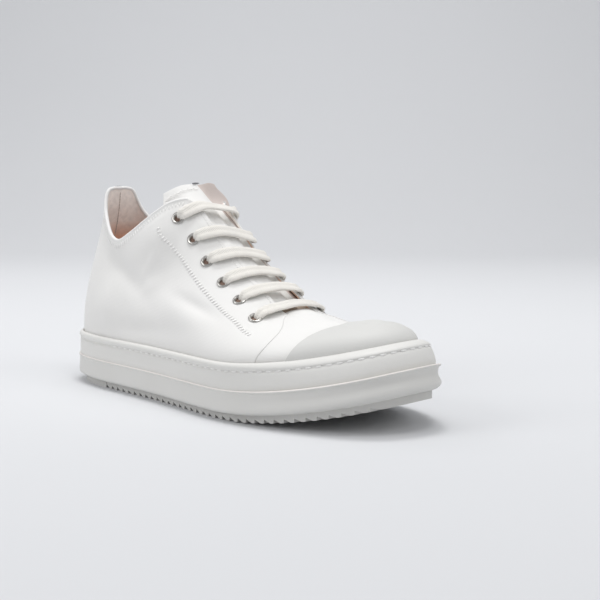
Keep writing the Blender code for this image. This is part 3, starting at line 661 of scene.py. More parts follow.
def woven_canvas(name, light, dark):
    """Tightly woven cotton canvas: matt, slightly uneven in tone, softly rumpled. The
    real thread is about 0.4 mm, too fine to show at the photograph's scale, so it is
    drawn at about twice that."""
    material, tree, shader = new_finish(name, 0.82, Sheen_Weight=0.12, Sheen_Roughness=0.5)
    cloth = add_node(tree, "ShaderNodeUVMap", uv_map="cloth").outputs["UV"]
    place = object_place(tree)
    weft, warp = (
        add_node(
            tree, "ShaderNodeTexWave",
            {"Vector": cloth, "Scale": 2.0 / (math.tau * CANVAS_THREAD), "Distortion": 0.6, "Detail": 1.0,
             "Detail Scale": 2.0}, bands_direction=direction).outputs["Fac"]
        for direction in ("X", "Y"))
    slubs = noise(tree, place, 260.0, 3.0)
    woven = bump(tree, maths(tree, "ADD", maths(tree, "MULTIPLY", weft, warp), slubs), 0.00012, 0.4)
    rumpled = bump(tree, noise(tree, place, 38.0, 2.0), 0.0009, 0.28, woven)
    join(tree, shader, mottled(tree, place, light, dark, 18.0), rumpled)
    return material


def inner_lining():
    """Brushed cotton lining: a worn, mottled nap, beige at the collar and tan where the
    foot goes, that tan partly its own tone and partly painted shade inside the shoe."""
    colour = colours()
    material, tree, shader = new_finish("brushed_cotton_lining", 0.9, Sheen_Weight=0.2)
    place = object_place(tree)
    height = add_node(tree, "ShaderNodeSeparateXYZ", {"Vector": place}).outputs["Z"]
    # Darker tan below the collar: the lining's own deeper tone and painted shade inside the shoe.
    collar = remap(tree, height, 0.0, 1.0, 0.102, 0.114)
    base = mix_colours(tree, collar, linear(colour.lining_below_tone_and_shade), linear(colour.lining))
    nap = noise(tree, place, 320.0, 6.0)
    toned = add_node(
        tree, "ShaderNodeVectorMath", {0: base, 1: remap(tree, nap, 0.80, 1.22)}, operation="MULTIPLY")
    join(tree, shader, toned.outputs["Vector"], bump(tree, nap, 0.0003, 0.6))
    return material


def moulded_rubber(name, light, dark, roughness=0.5, grain=900.0):
    """White vulcanised rubber, moulded: an even, slightly greyed surface with a fine
    matt grain from the mould and faint soiling in soft patches."""
    material, tree, shader = new_finish(name, roughness, Specular_IOR_Level=0.35)
    place = object_place(tree)
    pores = bump(tree, noise(tree, place, grain, 3.0), 0.00008, 0.5)
    uneven = remap(tree, noise(tree, place, 30.0, 3.0), roughness - 0.08, roughness + 0.12)
    join(tree, shader, mottled(tree, place, light, dark, 22.0, 5.0), pores, uneven)
    return material


def flat_woven_lace():
    """Flat cotton lace, tubular woven: slanted ribs that meet along its middle."""
    colour = colours()
    material, tree, shader = new_finish("tubular_woven_cotton_lace", 0.85, Sheen_Weight=0.2)
    cloth = add_node(tree, "ShaderNodeUVMap", uv_map="cloth").outputs["UV"]
    parts = add_node(tree, "ShaderNodeSeparateXYZ", {"Vector": cloth}).outputs
    slant = maths(tree, "MULTIPLY_ADD", maths(tree, "ABSOLUTE", parts["Y"]), 0.8, parts["X"])
    turned = add_node(tree, "ShaderNodeCombineXYZ", {"X": slant, "Y": parts["Y"]}).outputs["Vector"]
    ribs = add_node(
        tree, "ShaderNodeTexWave", {"Vector": turned, "Scale": 260.0, "Distortion": 0.4}, bands_direction="X")
    base = mottled(tree, object_place(tree), colour.lace, colour.lace_shade, 60.0)
    join(tree, shader, base, bump(tree, ribs.outputs["Fac"], 0.00022, 0.7))
    return material


def plated_nickel():
    """Pressed brass with satin nickel plate: grey, bright on its rolled rim, with small
    dull spots."""
    colour = colours()
    material, tree, shader = new_finish("satin_nickel_plate", 0.3, Metallic=1.0)
    place = object_place(tree)
    wear = remap(tree, noise(tree, place, 900.0, 4.0), 0.2, 0.45)
    join(tree, shader, mottled(tree, place, colour.nickel, colour.nickel_shade, 420.0), rough=wear)
    return material


def spun_thread(name, hex_colour, roughness=0.7):
    """Polyester sewing thread: two plies that catch the light as a fine twist."""
    material, tree, shader = new_finish(name, roughness, Sheen_Weight=0.1)
    shader.inputs["Base Color"].default_value = linear(hex_colour)
    twist = noise(tree, object_place(tree), 1600.0, 2.0)
    join(tree, shader, normal=bump(tree, twist, 0.0001, 0.5))
    return material


def ring_grid(rings):
    """Rings as one grid that closes on itself round the shoe."""
    return np.stack([np.vstack([ring, ring[:1]]) for ring in rings], axis=1)


def band_ring(count, heel_step, toe_step, share):
    """Ring of the band at a share of its height; the bead rises round the toe."""
    size = sizes()
    outline = step_out(sole_outline(count), heel_step, toe_step)
    tall = size.band_height + size.clearance + size.sunk
    ring = lifted(outline, size.ledge_height - size.sunk + share * tall)
    ring[:, 2] += share ** 3 * bead_rise(outline[:, 0] / size.length + 0.5)
    return ring


def build_side_wall():
    """Side of the sole, from just under the top of the tread up to the ledge."""
    size = sizes()
    colour = colours()
    outline = sole_outline(RING_POINTS)
    bottom = size.tread_height - size.sunk
    tall = size.ledge_height - bottom
    rings = [
        lifted(step_out(outline, heel_step, toe_step), bottom + share * tall)
        for share, heel_step, toe_step in WALL_PROFILE]
    hidden = step_out(outline, -0.012, -0.016)
    rings = [lifted(hidden, bottom)] + rings + [lifted(hidden, size.ledge_height)]
    mesh = grid_mesh("side_wall_rubber", ring_grid(rings))
    close_body(mesh)
    rubber = moulded_rubber("moulded_sole_rubber", colour.sole, colour.sole_shade, 0.52)
    add_piece("side_wall_rubber", mesh, rubber, ["midsole"], 40.0)


def build_ledge_line():
    """The thin line of rubber where the band stands on the sole's ledge, coloured lighter than the sole as a
    painted highlight along its lip.
    """
    size = sizes()
    colour = colours()
    outline = sole_outline(RING_POINTS)
    rings = []
    for angle in np.linspace(0.0, math.tau, 9)[:-1]:
        step = size.ledge_line * math.cos(angle) - 0.0006
        rings.append(
            lifted(step_out(outline, step, step), size.ledge_height + size.ledge_line * math.sin(angle)))
    mesh = grid_mesh("ledge_line", ring_grid(rings + rings[:1]))
    close_body(mesh)
    # Painted highlight: the line is coloured lighter than the sole, where its lip catches the light.
    rubber = moulded_rubber("rubber_line_painted_highlight", colour.ledge, colour.ledge_highlight_tone, 0.45)
    add_piece("ledge_line", mesh, rubber)


def close_body(mesh):
    """Fills the open rims of a lofted body, if it has any, and turns its faces outwards."""
    shape = bmesh.new()
    shape.from_mesh(mesh)
    rims = [edge for edge in shape.edges if edge.is_boundary]
    if rims:
        bmesh.ops.triangle_fill(shape, use_beauty=True, edges=rims)
    bmesh.ops.recalc_face_normals(shape, faces=shape.faces)
    shape.to_mesh(mesh)
    shape.free()


def build_rubber_band():
    """Band above the ledge, with its stitch groove and its rolled bead."""
    size = sizes()
    colour = colours()
    rings = [
        band_ring(RING_POINTS, heel_step, toe_step, share) for share, heel_step, toe_step in BAND_PROFILE]
    for share in (0.93, 0.0):
        rings.append(band_ring(RING_POINTS, -size.band_wall_heel, -size.band_wall_toe, share))
    mesh = grid_mesh("band_rubber", ring_grid(rings + rings[:1]))
    close_body(mesh)
    rubber = moulded_rubber("moulded_band_rubber", colour.band, colour.band_shade, 0.46)
    add_piece("band_rubber", mesh, rubber, ["foxing_band"], 50.0)


def stitches_mesh(name, centres, runs, normals, length, width, height):
    """Short capsules, one a stitch, each along its run and lying on the normal."""
    shape = bmesh.new()
    half_sizes = Matrix.Diagonal((length / 2.0, width / 2.0, height / 2.0, 1.0))
    for centre, run, normal in zip(centres, runs, normals):
        run = Vector(run).normalized()
        side = Vector(normal).normalized().cross(run).normalized()
        turn = Matrix((run, side, run.cross(side))).transposed().to_4x4()
        bmesh.ops.create_uvsphere(
            shape, u_segments=6, v_segments=4, radius=1.0,
            matrix=(Matrix.Translation(Vector(centre)) @ turn @ half_sizes
                    @ Matrix.Rotation(math.radians(90.0), 4, "Y")))
    return new_mesh(name, shape)


def along_path(points, pitch, start):
    """Even places along a polyline, with their directions and shares of its points."""
    points = np.asarray(points, float)
    run = run_lengths(points)
    distances = np.arange(start, run[-1], pitch)
    places, ahead, behind = (
        np.column_stack([np.interp(distances + shift * pitch, run, points[:, k]) for k in range(3)])
        for shift in (0.0, 0.3, -0.3))
    return places, ahead - behind, np.interp(distances, run, np.arange(len(points)))


def build_band_stitches():
    """Long stitches lying in the band's groove, from behind the arch round the toe."""
    profile = np.array(BAND_PROFILE)
    heel_step, toe_step = (
        np.interp(GROOVE_SHARE, profile[:, 0], profile[:, k]) + 0.0002 for k in (1, 2))
    ring = band_ring(2 * RING_POINTS, heel_step, toe_step, GROOVE_SHARE)
    start = int(np.argmin(np.where(ring[:, 1] < 0, np.abs(ring[:, 0] - BAND_ROW_ENDS), 9.0)))
    path = np.roll(ring, -start, axis=0)
    stop = int(np.argmin(np.where(path[:, 1] > 0, np.abs(path[:, 0] - BAND_ROW_ENDS), 9.0)))
    centres, runs, index = along_path(path[:stop], 0.0064, 0.003)
    normals = np.cross(runs, np.array([0.0, 0.0, 1.0]))
    mesh = stitches_mesh("band_stitches", centres, runs, normals, 0.0044, 0.0013, 0.0012)
    add_piece("band_stitches", mesh, spun_thread("waxed_sole_thread", colours().sole_thread))


def dent_offsets(last, share, up):
    """Sum of the listed dents at a grid of signed shares and heights. They fade
    out at the bead and at the top line."""
    points = last.skin(share, up)
    offsets = np.zeros(points.shape[:2])
    for side, at, height, half_along, half_up, turn, depth in DENTS:
        centre = last.skin(side * at, height)
        ahead = unit(last.skin(side * (at + 0.01), height) - centre)
        above = last.skin(side * at, height + 0.02) - centre
        above = unit(above - ahead * (above @ ahead))
        away = points - centre
        along = away @ ahead
        rise = away @ above
        angle = math.radians(turn)
        first = (along * math.cos(angle) + rise * math.sin(angle)) / half_along
        second = (-along * math.sin(angle) + rise * math.cos(angle)) / half_up
        mine = (share < 0) if side < 0 else (share >= 0)
        offsets += np.where(mine, depth * np.exp(-(first ** 2 + second ** 2)), 0.0)
    return offsets * smooth_step(1.0 - up, 0.0, 0.12) * smooth_step(up, -0.02, 0.10)


def quarter_grid(columns=361, rows=81):
    """Signed shares and heights of the quarters, from seam to seam round the heel."""
    up = np.concatenate([[-0.25, -0.12], np.linspace(0.0, 1.0, rows - 2)])
    seam = read_table(VAMP_SEAM, up)[:, 0]
    share = np.linspace(1.0, -1.0, columns)[:, None] * seam[None, :]
    return share, np.broadcast_to(up, (columns, rows))


def build_quarters(last):
    """Outer canvas of the sides and heel, lying over the vamp at its front seam."""
    size = sizes()
    colour = colours()
    share, up = quarter_grid()
    points = last.skin(share, up)
    normals = grid_normals(points)
    points = points + normals * dent_offsets(last, share, up)[..., None]
    mesh = grid_mesh("quarters_canvas", points, cloth_uv(points))
    canvas = woven_canvas("white_cotton_canvas", colour.canvas, colour.canvas_shade)
    piece = add_piece("quarters_canvas", mesh, canvas, ["upper"], 60.0)
    add_wall(piece, size.canvas, -1.0, 0.00025)
    cut_lace_holes(last, piece)


def build_vamp(last):
    """Canvas of the forefoot, from under the quarters' seam to under the toe cap."""
    size = sizes()
    colour = colours()
    share_half = np.linspace(THROAT_RIB, 1.0, 71)
    signed = np.concatenate([-share_half, share_half[::-1][1:]])
    up = np.concatenate([[-0.25, -0.12], np.linspace(0.0, 1.0, 34), np.linspace(1.0, 2.0, 22)[1:]])
    share, height = np.broadcast_arrays(signed[:, None], up[None, :])
    points = last.skin(share, height)
    normals = grid_normals(points)
    seam = read_table(VAMP_SEAM, np.clip(up, -0.3, 1.0))[:, 0]
    past = np.abs(share) - seam[None, :]
    drop = -0.5 * size.canvas * (1.0 - smooth_step(past, 0.004, 0.09)) * (height < 1.4)
    drop = drop * (1.0 - smooth_step(height, 1.0, 1.4))
    points = points + normals * drop[..., None]
    mesh = grid_mesh("vamp_canvas", points, cloth_uv(points))
    canvas = woven_canvas("white_cotton_canvas_vamp", colour.canvas, colour.canvas_shade)
    piece = add_piece("vamp_canvas", mesh, canvas, (), 60.0)
    add_wall(piece, size.canvas, -1.0)


def build_lining(last):
    """Lining of the sides and heel, inside the outer canvas."""
    size = sizes()
    share, up = quarter_grid(241, 61)
    points = last.skin(share, up)
    normals = grid_normals(points)
    points = points + normals * (dent_offsets(last, share, up) - size.canvas - 0.00005)[..., None]
    mesh = grid_mesh("collar_lining", points, cloth_uv(points))
    piece = add_piece("collar_lining", mesh, inner_lining(), ())
    add_wall(piece, size.lining, -1.0)
    cut_lace_holes(last, piece)


def evaluated_mesh(thing):
    """Mesh of an object with its modifiers, or of a curve."""
    bpy.context.view_layer.update()
    return bpy.data.meshes.new_from_object(thing.evaluated_get(bpy.context.evaluated_depsgraph_get()))


def lace_holes():
    """Side, number, rib share and distance below the edge of every lace hole."""
    return [
        (side, number, share, from_edge)
        for side in SIDES for number, (share, from_edge, shift) in enumerate(EYELET_ROWS, 1)]


def hole_barrels(name, last, radius, segments, depth, lift=0.0):
    """Mesh of short barrels, one in each lace hole."""
    shape = bmesh.new()
    for side, number, share, from_edge in lace_holes():
        bmesh.ops.create_cone(
            shape, cap_ends=True, segments=segments, radius1=radius, radius2=radius, depth=depth,
            matrix=eyelet_frame(last, side, share, from_edge, lift))
    return new_mesh(name, shape)


def cut_lace_holes(last, piece):
    """Cuts the lace holes with one cutter made of all the barrels."""
    mesh = hole_barrels("barrels", last, sizes().eyelet_hole + 0.0004, 20, 0.012)
    cutter = bpy.data.objects.new("barrels", mesh)
    bpy.context.scene.collection.objects.link(cutter)
    cut = piece.modifiers.new("Lace holes", "BOOLEAN")
    cut.object = cutter
    cut.solver = "EXACT"
    made = evaluated_mesh(piece)
    piece.modifiers.clear()
    old = piece.data
    piece.data = made
    for unused in (old, mesh):
        bpy.data.meshes.remove(unused)


def eyelet_frame(last, side, share, from_edge, lift=0.0):
    """Placement on the upper, with Z along the outward normal."""
    up = last.down_from_edge(side * share, from_edge)
    normal = Vector(last.normal(side * share, up))
    dent = float(dent_offsets(last, np.array([[side * share]]), np.array([[up]]))[0, 0])
    place = Vector(last.skin(side * share, up)) + normal * (lift + dent)
    return Matrix.Translation(place) @ normal.to_track_quat("Z", "X").to_matrix().to_4x4()


def build_eyelets(last):
    """Pressed eyelets: a domed rim, a short barrel and the turned-over inner edge."""
    size = sizes()
    hole = size.eyelet_hole
    rim = size.eyelet_radius
    section = (
        (rim, 0.0000), (rim - 0.0001, 0.0004), (rim - 0.0006, 0.0008), (rim - 0.0012, 0.0009),
        (hole + 0.0006, 0.0007), (hole + 0.0001, 0.0002), (hole, -0.0006), (hole, -0.0024),
        (hole + 0.0003, -0.0024), (hole + 0.0003, 0.0000),
    )
    nickel = plated_nickel()
    for side, number, share, from_edge in lace_holes():
        shape = bmesh.new()
        verts = [shape.verts.new((radius, 0.0, height)) for radius, height in section]
        for i, vert in enumerate(verts):
            shape.edges.new((vert, verts[(i + 1) % len(verts)]))
        bmesh.ops.spin(
            shape, geom=shape.verts[:] + shape.edges[:], cent=(0.0, 0.0, 0.0), axis=(0.0, 0.0, 1.0),
            angle=math.tau, steps=32, use_merge=True)
        bmesh.ops.remove_doubles(shape, verts=shape.verts, dist=0.00001)
        bmesh.ops.recalc_face_normals(shape, faces=shape.faces)
        bmesh.ops.transform(
            shape, matrix=eyelet_frame(last, side, share, from_edge, 0.0001), verts=shape.verts)
        node = f"eyelet_{SIDES[side]}_{number}"
        mesh = new_mesh("nickel_" + node, shape)
        add_piece("nickel_" + node, mesh, nickel, [node], 40.0)


def build_eyelet_shade_discs(last):
    """Dark brown discs a little below the eyelets' rims, where the lining shows through: painted shade in the
    lace holes.
    """
    mesh = hole_barrels("eyelet_shade_discs", last, sizes().eyelet_hole, 16, 0.0004, -0.0010)
    # Painted shade: this dark brown finish stands for the shadow inside each lace hole.
    cotton = spun_thread("painted_shade_in_eyelets", colours().hole, 0.9)
    add_piece("eyelet_shade_discs", mesh, cotton, (), 40.0)


def lace_route(last, number):
    """Centre, across direction, width share and thickness share along one run."""
    share, from_edge, shift = EYELET_ROWS[number]
    half = sizes().lace_thickness / 2.0
    keys = []
    for side, reach in ((-1, shift), (1, shift * MEDIAL_LACE_REACH)):
        frame_here = eyelet_frame(last, side, share, from_edge)
        place = np.array(frame_here.translation)
        normal = np.array(frame_here.col[2][:3])
        crossing = side * (share + reach)
        edge = last.skin(crossing, 1.0)
        over = last.normal(crossing, 0.97)
        ahead = unit(last.skin(side * (share + 0.03), 0.9) - last.skin(side * (share + 0.01), 0.9))
        start = place + unit(edge - place) * 0.0013
        part = [(start - normal * 0.0050, ahead, 0.50, 1.0), (start - normal * 0.0010, ahead, 0.60, 1.1)]
        for fraction, width, lift in ((0.24, 0.86, 0.0014), (0.48, 1.0, 0.0020), (0.75, 1.0, 0.0019)):
            spot = place + (edge - place) * fraction
            out = normal + (over - normal) * fraction
            part.append((spot + out * (half + lift) / np.linalg.norm(out), ahead, width, 1.0))
        part.append((edge + over * (half + 0.0012), ahead, 1.0, 1.0))
        keys.append(part)
    lateral, medial = keys
    crest = lateral[-1][0] * 0.55 + medial[-1][0] * 0.45
    middle = [(crest + np.array([0.0, 0.0, 0.0012]), (lateral[-1][1] + medial[-1][1]) / 2.0, 1.0, 1.0)]
    return lateral + middle + medial[::-1]


def build_lace(last, number, cotton):
    """One run of the lace: a flat section with a soft groove along its middle."""
    size = sizes()
    keys = lace_route(last, number)
    places = np.array([key[0] for key in keys])
    across = np.array([key[1] for key in keys])
    shares = np.array([key[2:] for key in keys])
    run = run_lengths(places)
    steps = np.linspace(0.0, run[-1], 97)
    centres = read_table(np.column_stack([run, places]), steps)
    sides = read_table(np.column_stack([run, across]), steps)
    widths = np.interp(steps, run, shares[:, 0])
    thick = np.interp(steps, run, shares[:, 1])
    heading = unit(np.gradient(centres, axis=0))
    sides = unit(sides - heading * np.sum(sides * heading, axis=1)[:, None])
    over = np.cross(heading, sides)
    over *= np.sign(over[len(over) // 2] @ np.array([0.3, 0.0, 1.0]))
    around = np.linspace(0.0, math.tau, 33)
    flat = np.sign(np.cos(around)) * np.abs(np.cos(around)) ** 0.8
    full = np.sign(np.sin(around)) * np.abs(np.sin(around)) ** 0.75
    dimple = 1.0 - 0.50 * np.exp(-(flat / 0.25) ** 2)
    points = (
        centres[:, None]
        + sides[:, None] * (flat[None, :] * (widths * size.lace_width / 2.0)[:, None])[..., None]
        + over[:, None] * ((full * dimple)[None, :] * (thick * size.lace_thickness / 2.0)[:, None])[..., None]
    )
    uv = np.stack(np.broadcast_arrays(steps[:, None], (flat * size.lace_width / 2.0)[None, :]), axis=-1)
    name = f"lace_run_{number + 1}"
    mesh = grid_mesh(name, points, uv)
    close_body(mesh)
    add_piece(name, mesh, cotton, [f"lace_bar_{number + 1}"])


def tongue_grid():
    """Outer face of the tongue as a fine grid, smoothly between its rows and places."""
    size = sizes()
    rows = []
    for number, (along, up, width, falls) in enumerate(TONGUE_ROWS):
        row = []
        for across_share, fall in zip(TONGUE_ACROSS, falls):
            across = across_share * width
            lean = 0.0
            if number == len(TONGUE_ROWS) - 1:
                across = min(across, TONGUE_TOP_REACH * width)
                lean = TONGUE_TOP_LEAN * max(across, 0.0) / TONGUE_TOP_REACH
            x = (along + lean - fall * 0.35 - 0.5) * size.length + box_shift()
            y = size.throat_shift * float(smooth_step(along, 0.20, 0.36)) + across * size.width
            row.append((x, y, (up - fall * 0.75) * size.height))
        rows.append(row)
    places = np.linspace(TONGUE_ACROSS[0], TONGUE_ACROSS[-1], 69)
    fine = np.array([read_table(np.column_stack([TONGUE_ACROSS, row]), places) for row in rows])
    keys = np.arange(len(rows), dtype=float)
    steps = np.linspace(0.0, len(rows) - 1.0, 101)
    columns = [read_table(np.column_stack([keys, fine[:, k]]), steps) for k in range(len(places))]
    return np.stack(columns, axis=1)


def build_tongue():
    """Tongue with its crease and its wing, softly rumpled."""
    size = sizes()
    colour = colours()
    points = tongue_grid()
    rumple = 0.0005 * np.sin(points[:, :, 0] * 210.0 + points[:, :, 1] * 90.0)
    points = points + grid_normals(points) * rumple[..., None]
    mesh = grid_mesh("tongue_canvas", points, cloth_uv(points), flip=True)
    canvas = woven_canvas("white_cotton_canvas_tongue", colour.canvas, colour.tongue_shade)
    paint_tongue_wing_and_end_shade(canvas)
    piece = add_piece("tongue_canvas", mesh, canvas, ["tongue"], 70.0)
    add_wall(piece, size.tongue_thickness, -1.0, 0.0004)


def paint_tongue_wing_and_end_shade(material):
    """The tongue's medial wing is its beige backing, folded outwards past the crease. Its toe end, deep below
    the vamp's edge,
    is painted a darker tan than the backing: painted shade. The crease lies nearer the middle towards the
    top."""
    colour = colours()
    tree = material.node_tree
    shader = tree.nodes["Principled BSDF"]
    base = shader.inputs["Base Color"].links[0].from_socket
    parts = add_node(tree, "ShaderNodeSeparateXYZ", {"Vector": object_place(tree)}).outputs
    crease = remap(tree, parts["Z"], 0.0130, 0.0062, 0.124, 0.140)
    past = maths(tree, "SUBTRACT", parts["Y"], crease)
    winged = mix_colours(tree, remap(tree, past, 0.0, 1.0, 0.0, 0.0006), base, linear(colour.tongue_back))
    # Painted shade: the toe end, deep below the vamp's edge, turns a darker tan.
    painted_end_shade_share = remap(tree, parts["X"], 0.0, 1.0, 0.0390, 0.0400)
    join(tree, shader, mix_colours(tree, painted_end_shade_share, winged, linear(colour.tongue_end_painted_shade)))


def build_toe_cap(last):
    """Moulded toe cap over the vamp. Its back edge leans back down to the sole."""
    size = sizes()
    colour = colours()
    up = np.concatenate([np.linspace(-0.04, 1.0, 30), np.linspace(1.0, 2.0, 26)[1:]])
    shares = np.linspace(THROAT_RIB, 1.0, 240)
    back = size.cap_back - size.length / 2.0 + box_shift()
    starts = {}
    for side in (-1, 1):
        spots = last.skin(side * shares[:, None], up[None, :])
        xs = spots[..., 0] - size.cap_lean * (spots[..., 2] - size.cap_top)
        starts[side] = np.array([np.interp(back, xs[:, j], shares) for j in range(len(up))])
    t = np.linspace(0.0, 1.0, 61)[:, None]
    halves = [side * (starts[side] + (1.0 - starts[side]) * t) for side in (-1, 1)]
    share = np.concatenate([halves[0], halves[1][::-1][1:]])
    points = last.skin(share, np.broadcast_to(up, share.shape))
    normals = grid_normals(points)
    # Both sides share one direction along the ridge, so that no slit opens there. The
    # ridge's end has no direction of its own, so its one point isn't lifted.
    normals[:, -1] = unit(normals[:, -1] + normals[::-1, -1])
    points = points + normals * size.clearance
    mesh = grid_mesh("toe_cap_rubber", points)
    rubber = moulded_rubber("moulded_toe_cap_rubber", colour.cap, colour.cap_shade)
    piece = add_piece("toe_cap_rubber", mesh, rubber, ["toe_cap"], 60.0)
    add_wall(piece, size.cap_thickness, 1.0, 0.0005)


def build_collar_roll(last):
    """Rolled edge of the collar, round the heel tab from flap to flap."""
    shares = np.linspace(-FLAP_RIB, FLAP_RIB, 241)
    path = last.skin(shares, np.full(241, 1.0)) - last.normal(shares, 0.97) * sizes().canvas
    curve = bpy.data.curves.new("collar_roll", "CURVE")
    curve.dimensions = "3D"
    curve.bevel_depth = sizes().collar_roll
    curve.bevel_resolution = 3
    curve.use_fill_caps = True
    line = curve.splines.new("POLY")
    line.points.add(len(path) - 1)
    for point, place in zip(line.points, path):
        point.co = (*place, 1.0)
    holder = bpy.data.objects.new("collar_roll", curve)
    bpy.context.scene.collection.objects.link(holder)
    mesh = evaluated_mesh(holder)
    bpy.data.objects.remove(holder)
    bpy.data.curves.remove(curve)
    mesh.name = "collar_roll"
    thread = spun_thread("cotton_binding_tape", colours().canvas, 0.8)
    add_piece("collar_roll", mesh, thread, ())


def seam_stitches(last, name, shares, ups, row, material):
    """Row of stitches on the upper; turn 0 lies along the row and 90 across it."""
    pitch, length, width, turn, lift = row
    centres, runs, index = along_path(last.skin(shares, ups), pitch, pitch)
    at_shares, at_ups = (np.interp(index, np.arange(len(shares)), places) for places in (shares, ups))
    normals = last.normal(at_shares, at_ups)
    turned = [
        Matrix.Rotation(math.radians(turn), 3, Vector(normal)) @ Vector(run)
        for run, normal in zip(runs, normals)]
    offset = dent_offsets(last, at_shares[:, None], at_ups[:, None])[:, 0]
    centres = centres + normals * (offset + lift)[:, None]
    add_piece(name, stitches_mesh(name, centres, turned, normals, length, width, width * 0.7), material)


def build_seam_stitches(last):
    """Stitches of the heel tab, the eyestays, the collar and the facings."""
    colour = colours()
    thread = spun_thread("white_sewing_thread", colour.thread)
    beige = spun_thread("beige_seam_thread", colour.tongue_back)
    seam_stitches(last, "heel_tab_seam", np.zeros(41), np.linspace(0.62, 0.97, 41), TAB_ROW, beige)
    for side, name in SIDES.items():
        stay = np.linspace(EYESTAY_SEAM[0][0], EYESTAY_SEAM[-1][0], 161)
        heights = read_table(EYESTAY_SEAM, stay)[:, 0]
        seam_stitches(last, f"eyestay_stitches_{name}", side * stay, heights, EYESTAY_ROW, thread)
        for kind, start, end, from_edge, row in (
            ("collar", 0.10, FLAP_RIB - 0.004, 0.0040, COLLAR_ROW),
            ("facing", FLAP_RIB + 0.012, THROAT_RIB, 0.0026, FACING_ROW),
        ):
            edge = side * np.linspace(start, end, 161)
            heights = np.array([last.down_from_edge(share, from_edge) for share in edge])
            seam_stitches(last, f"{kind}_stitches_{name}", edge, heights, row, thread)


def build_tongue_stitches():
    """Zigzag just inside the tongue's lateral and top edges."""
    grid = tongue_grid()
    normals = grid_normals(grid)
    if normals[50, 34, 2] < 0:
        normals = -normals
    cells = [(row, 3) for row in range(62, 97)] + [(96, column) for column in range(4, 40)]
    path = np.array([grid[cell] for cell in cells])
    centres, runs, index = along_path(path, 0.0022, 0.001)
    lying = np.array([normals[cells[int(i)]] for i in index])
    turned = [
        Matrix.Rotation(math.radians(35.0 if k % 2 else -35.0), 3, Vector(normal)) @ Vector(run)
        for k, (run, normal) in enumerate(zip(runs, lying))]
    mesh = stitches_mesh("tongue_stitches", centres + lying * 0.0006, turned, lying, 0.0028, 0.0007, 0.0005)
    add_piece("tongue_stitches", mesh, spun_thread("white_zigzag_thread", colours().thread))


def build_thread_tacks(last):
    """Small dark bar tacks at the top of the heel tab and of the tongue."""
    tab = last.skin(0.0, 1.0) + np.array([0.0, 0.0, 0.0010])
    tongue = tongue_grid()[-1, 40] + np.array([0.0, 0.0, 0.0006])
    centres = [tab + np.array([step, 0.0, 0.0]) for step in (0.0009, 0.0, -0.0009)]
    centres += [tongue + np.array([step, 0.0, 0.0]) for step in (0.0, -0.0008)]
    count = len(centres)
    mesh = stitches_mesh(
        "thread_tacks", centres, [(0.0, 1.0, 0.0)] * count, [(0.0, 0.0, 1.0)] * count, 0.0062, 0.0011, 0.0010)
    add_piece("thread_tacks", mesh, spun_thread("dark_tack_thread", colours().tack))


def finish_tread_and_insole():
    """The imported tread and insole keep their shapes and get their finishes."""
    colour = colours()
    rubber = moulded_rubber("moulded_tread_rubber", colour.tread, colour.tread_shade, 0.6, 600.0)
    finishes = (("outsole_heel", rubber), ("outsole_tread", rubber), ("insole", inner_lining()))
    for node, material in finishes:
        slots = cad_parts[node].data.materials
        slots.clear()
        slots.append(material)


class SNEAKER_OT_sole(bpy.types.Operator):
    """Side wall, band, band stitches and tread"""
    bl_idname = "sneaker.sole"
    bl_label = "Sole"

    def execute(self, context):
        build_side_wall()
        build_ledge_line()
        build_rubber_band()
        build_band_stitches()
        finish_tread_and_insole()
        return {"FINISHED"}


class SNEAKER_OT_upper(bpy.types.Operator):
    """Quarters, vamp, lining and rolled collar"""
    bl_idname = "sneaker.upper"
    bl_label = "Upper"

    def execute(self, context):
        last = Last()
        build_quarters(last)
        build_vamp(last)
        build_lining(last)
        build_collar_roll(last)
        return {"FINISHED"}


class SNEAKER_OT_toe_cap(bpy.types.Operator):
    """Rubber toe cap"""
    bl_idname = "sneaker.toe_cap"
    bl_label = "Toe cap"

    def execute(self, context):
        build_toe_cap(Last())
        return {"FINISHED"}


class SNEAKER_OT_tongue(bpy.types.Operator):
    """Canvas tongue with its crease"""
    bl_idname = "sneaker.tongue"
    bl_label = "Tongue"

    def execute(self, context):
        build_tongue()
        return {"FINISHED"}


class SNEAKER_OT_stitches(bpy.types.Operator):
    """Rows of stitches and the dark thread tacks"""
    bl_idname = "sneaker.stitches"
    bl_label = "Stitches"

    def execute(self, context):
        last = Last()
        build_seam_stitches(last)
        build_tongue_stitches()
        build_thread_tacks(last)
        return {"FINISHED"}


class SNEAKER_OT_lacing(bpy.types.Operator):
    """Eyelets and the visible runs of the lace"""
    bl_idname = "sneaker.lacing"
    bl_label = "Lacing"

    def execute(self, context):
        last = Last()
        build_eyelets(last)
        build_eyelet_shade_discs(last)
        cotton = flat_woven_lace()
        for number in range(len(EYELET_ROWS)):
            build_lace(last, number, cotton)
        return {"FINISHED"}


class SNEAKER_OT_stage(bpy.types.Operator):
    """Pale floor, soft studio light and the photograph's camera"""
    bl_idname = "sneaker.stage"
    bl_label = "Stage"

    def execute(self, context):
        build_floor()
        build_lights()
        build_camera()
        return {"FINISHED"}


def view_axes():
    """The photograph's camera axes on the floor: to its right, and back towards it."""
    along, across = math.cos(CAMERA_AROUND), math.sin(CAMERA_AROUND)
    return Vector((along, across, 0.0)), Vector((across, -along, 0.0))


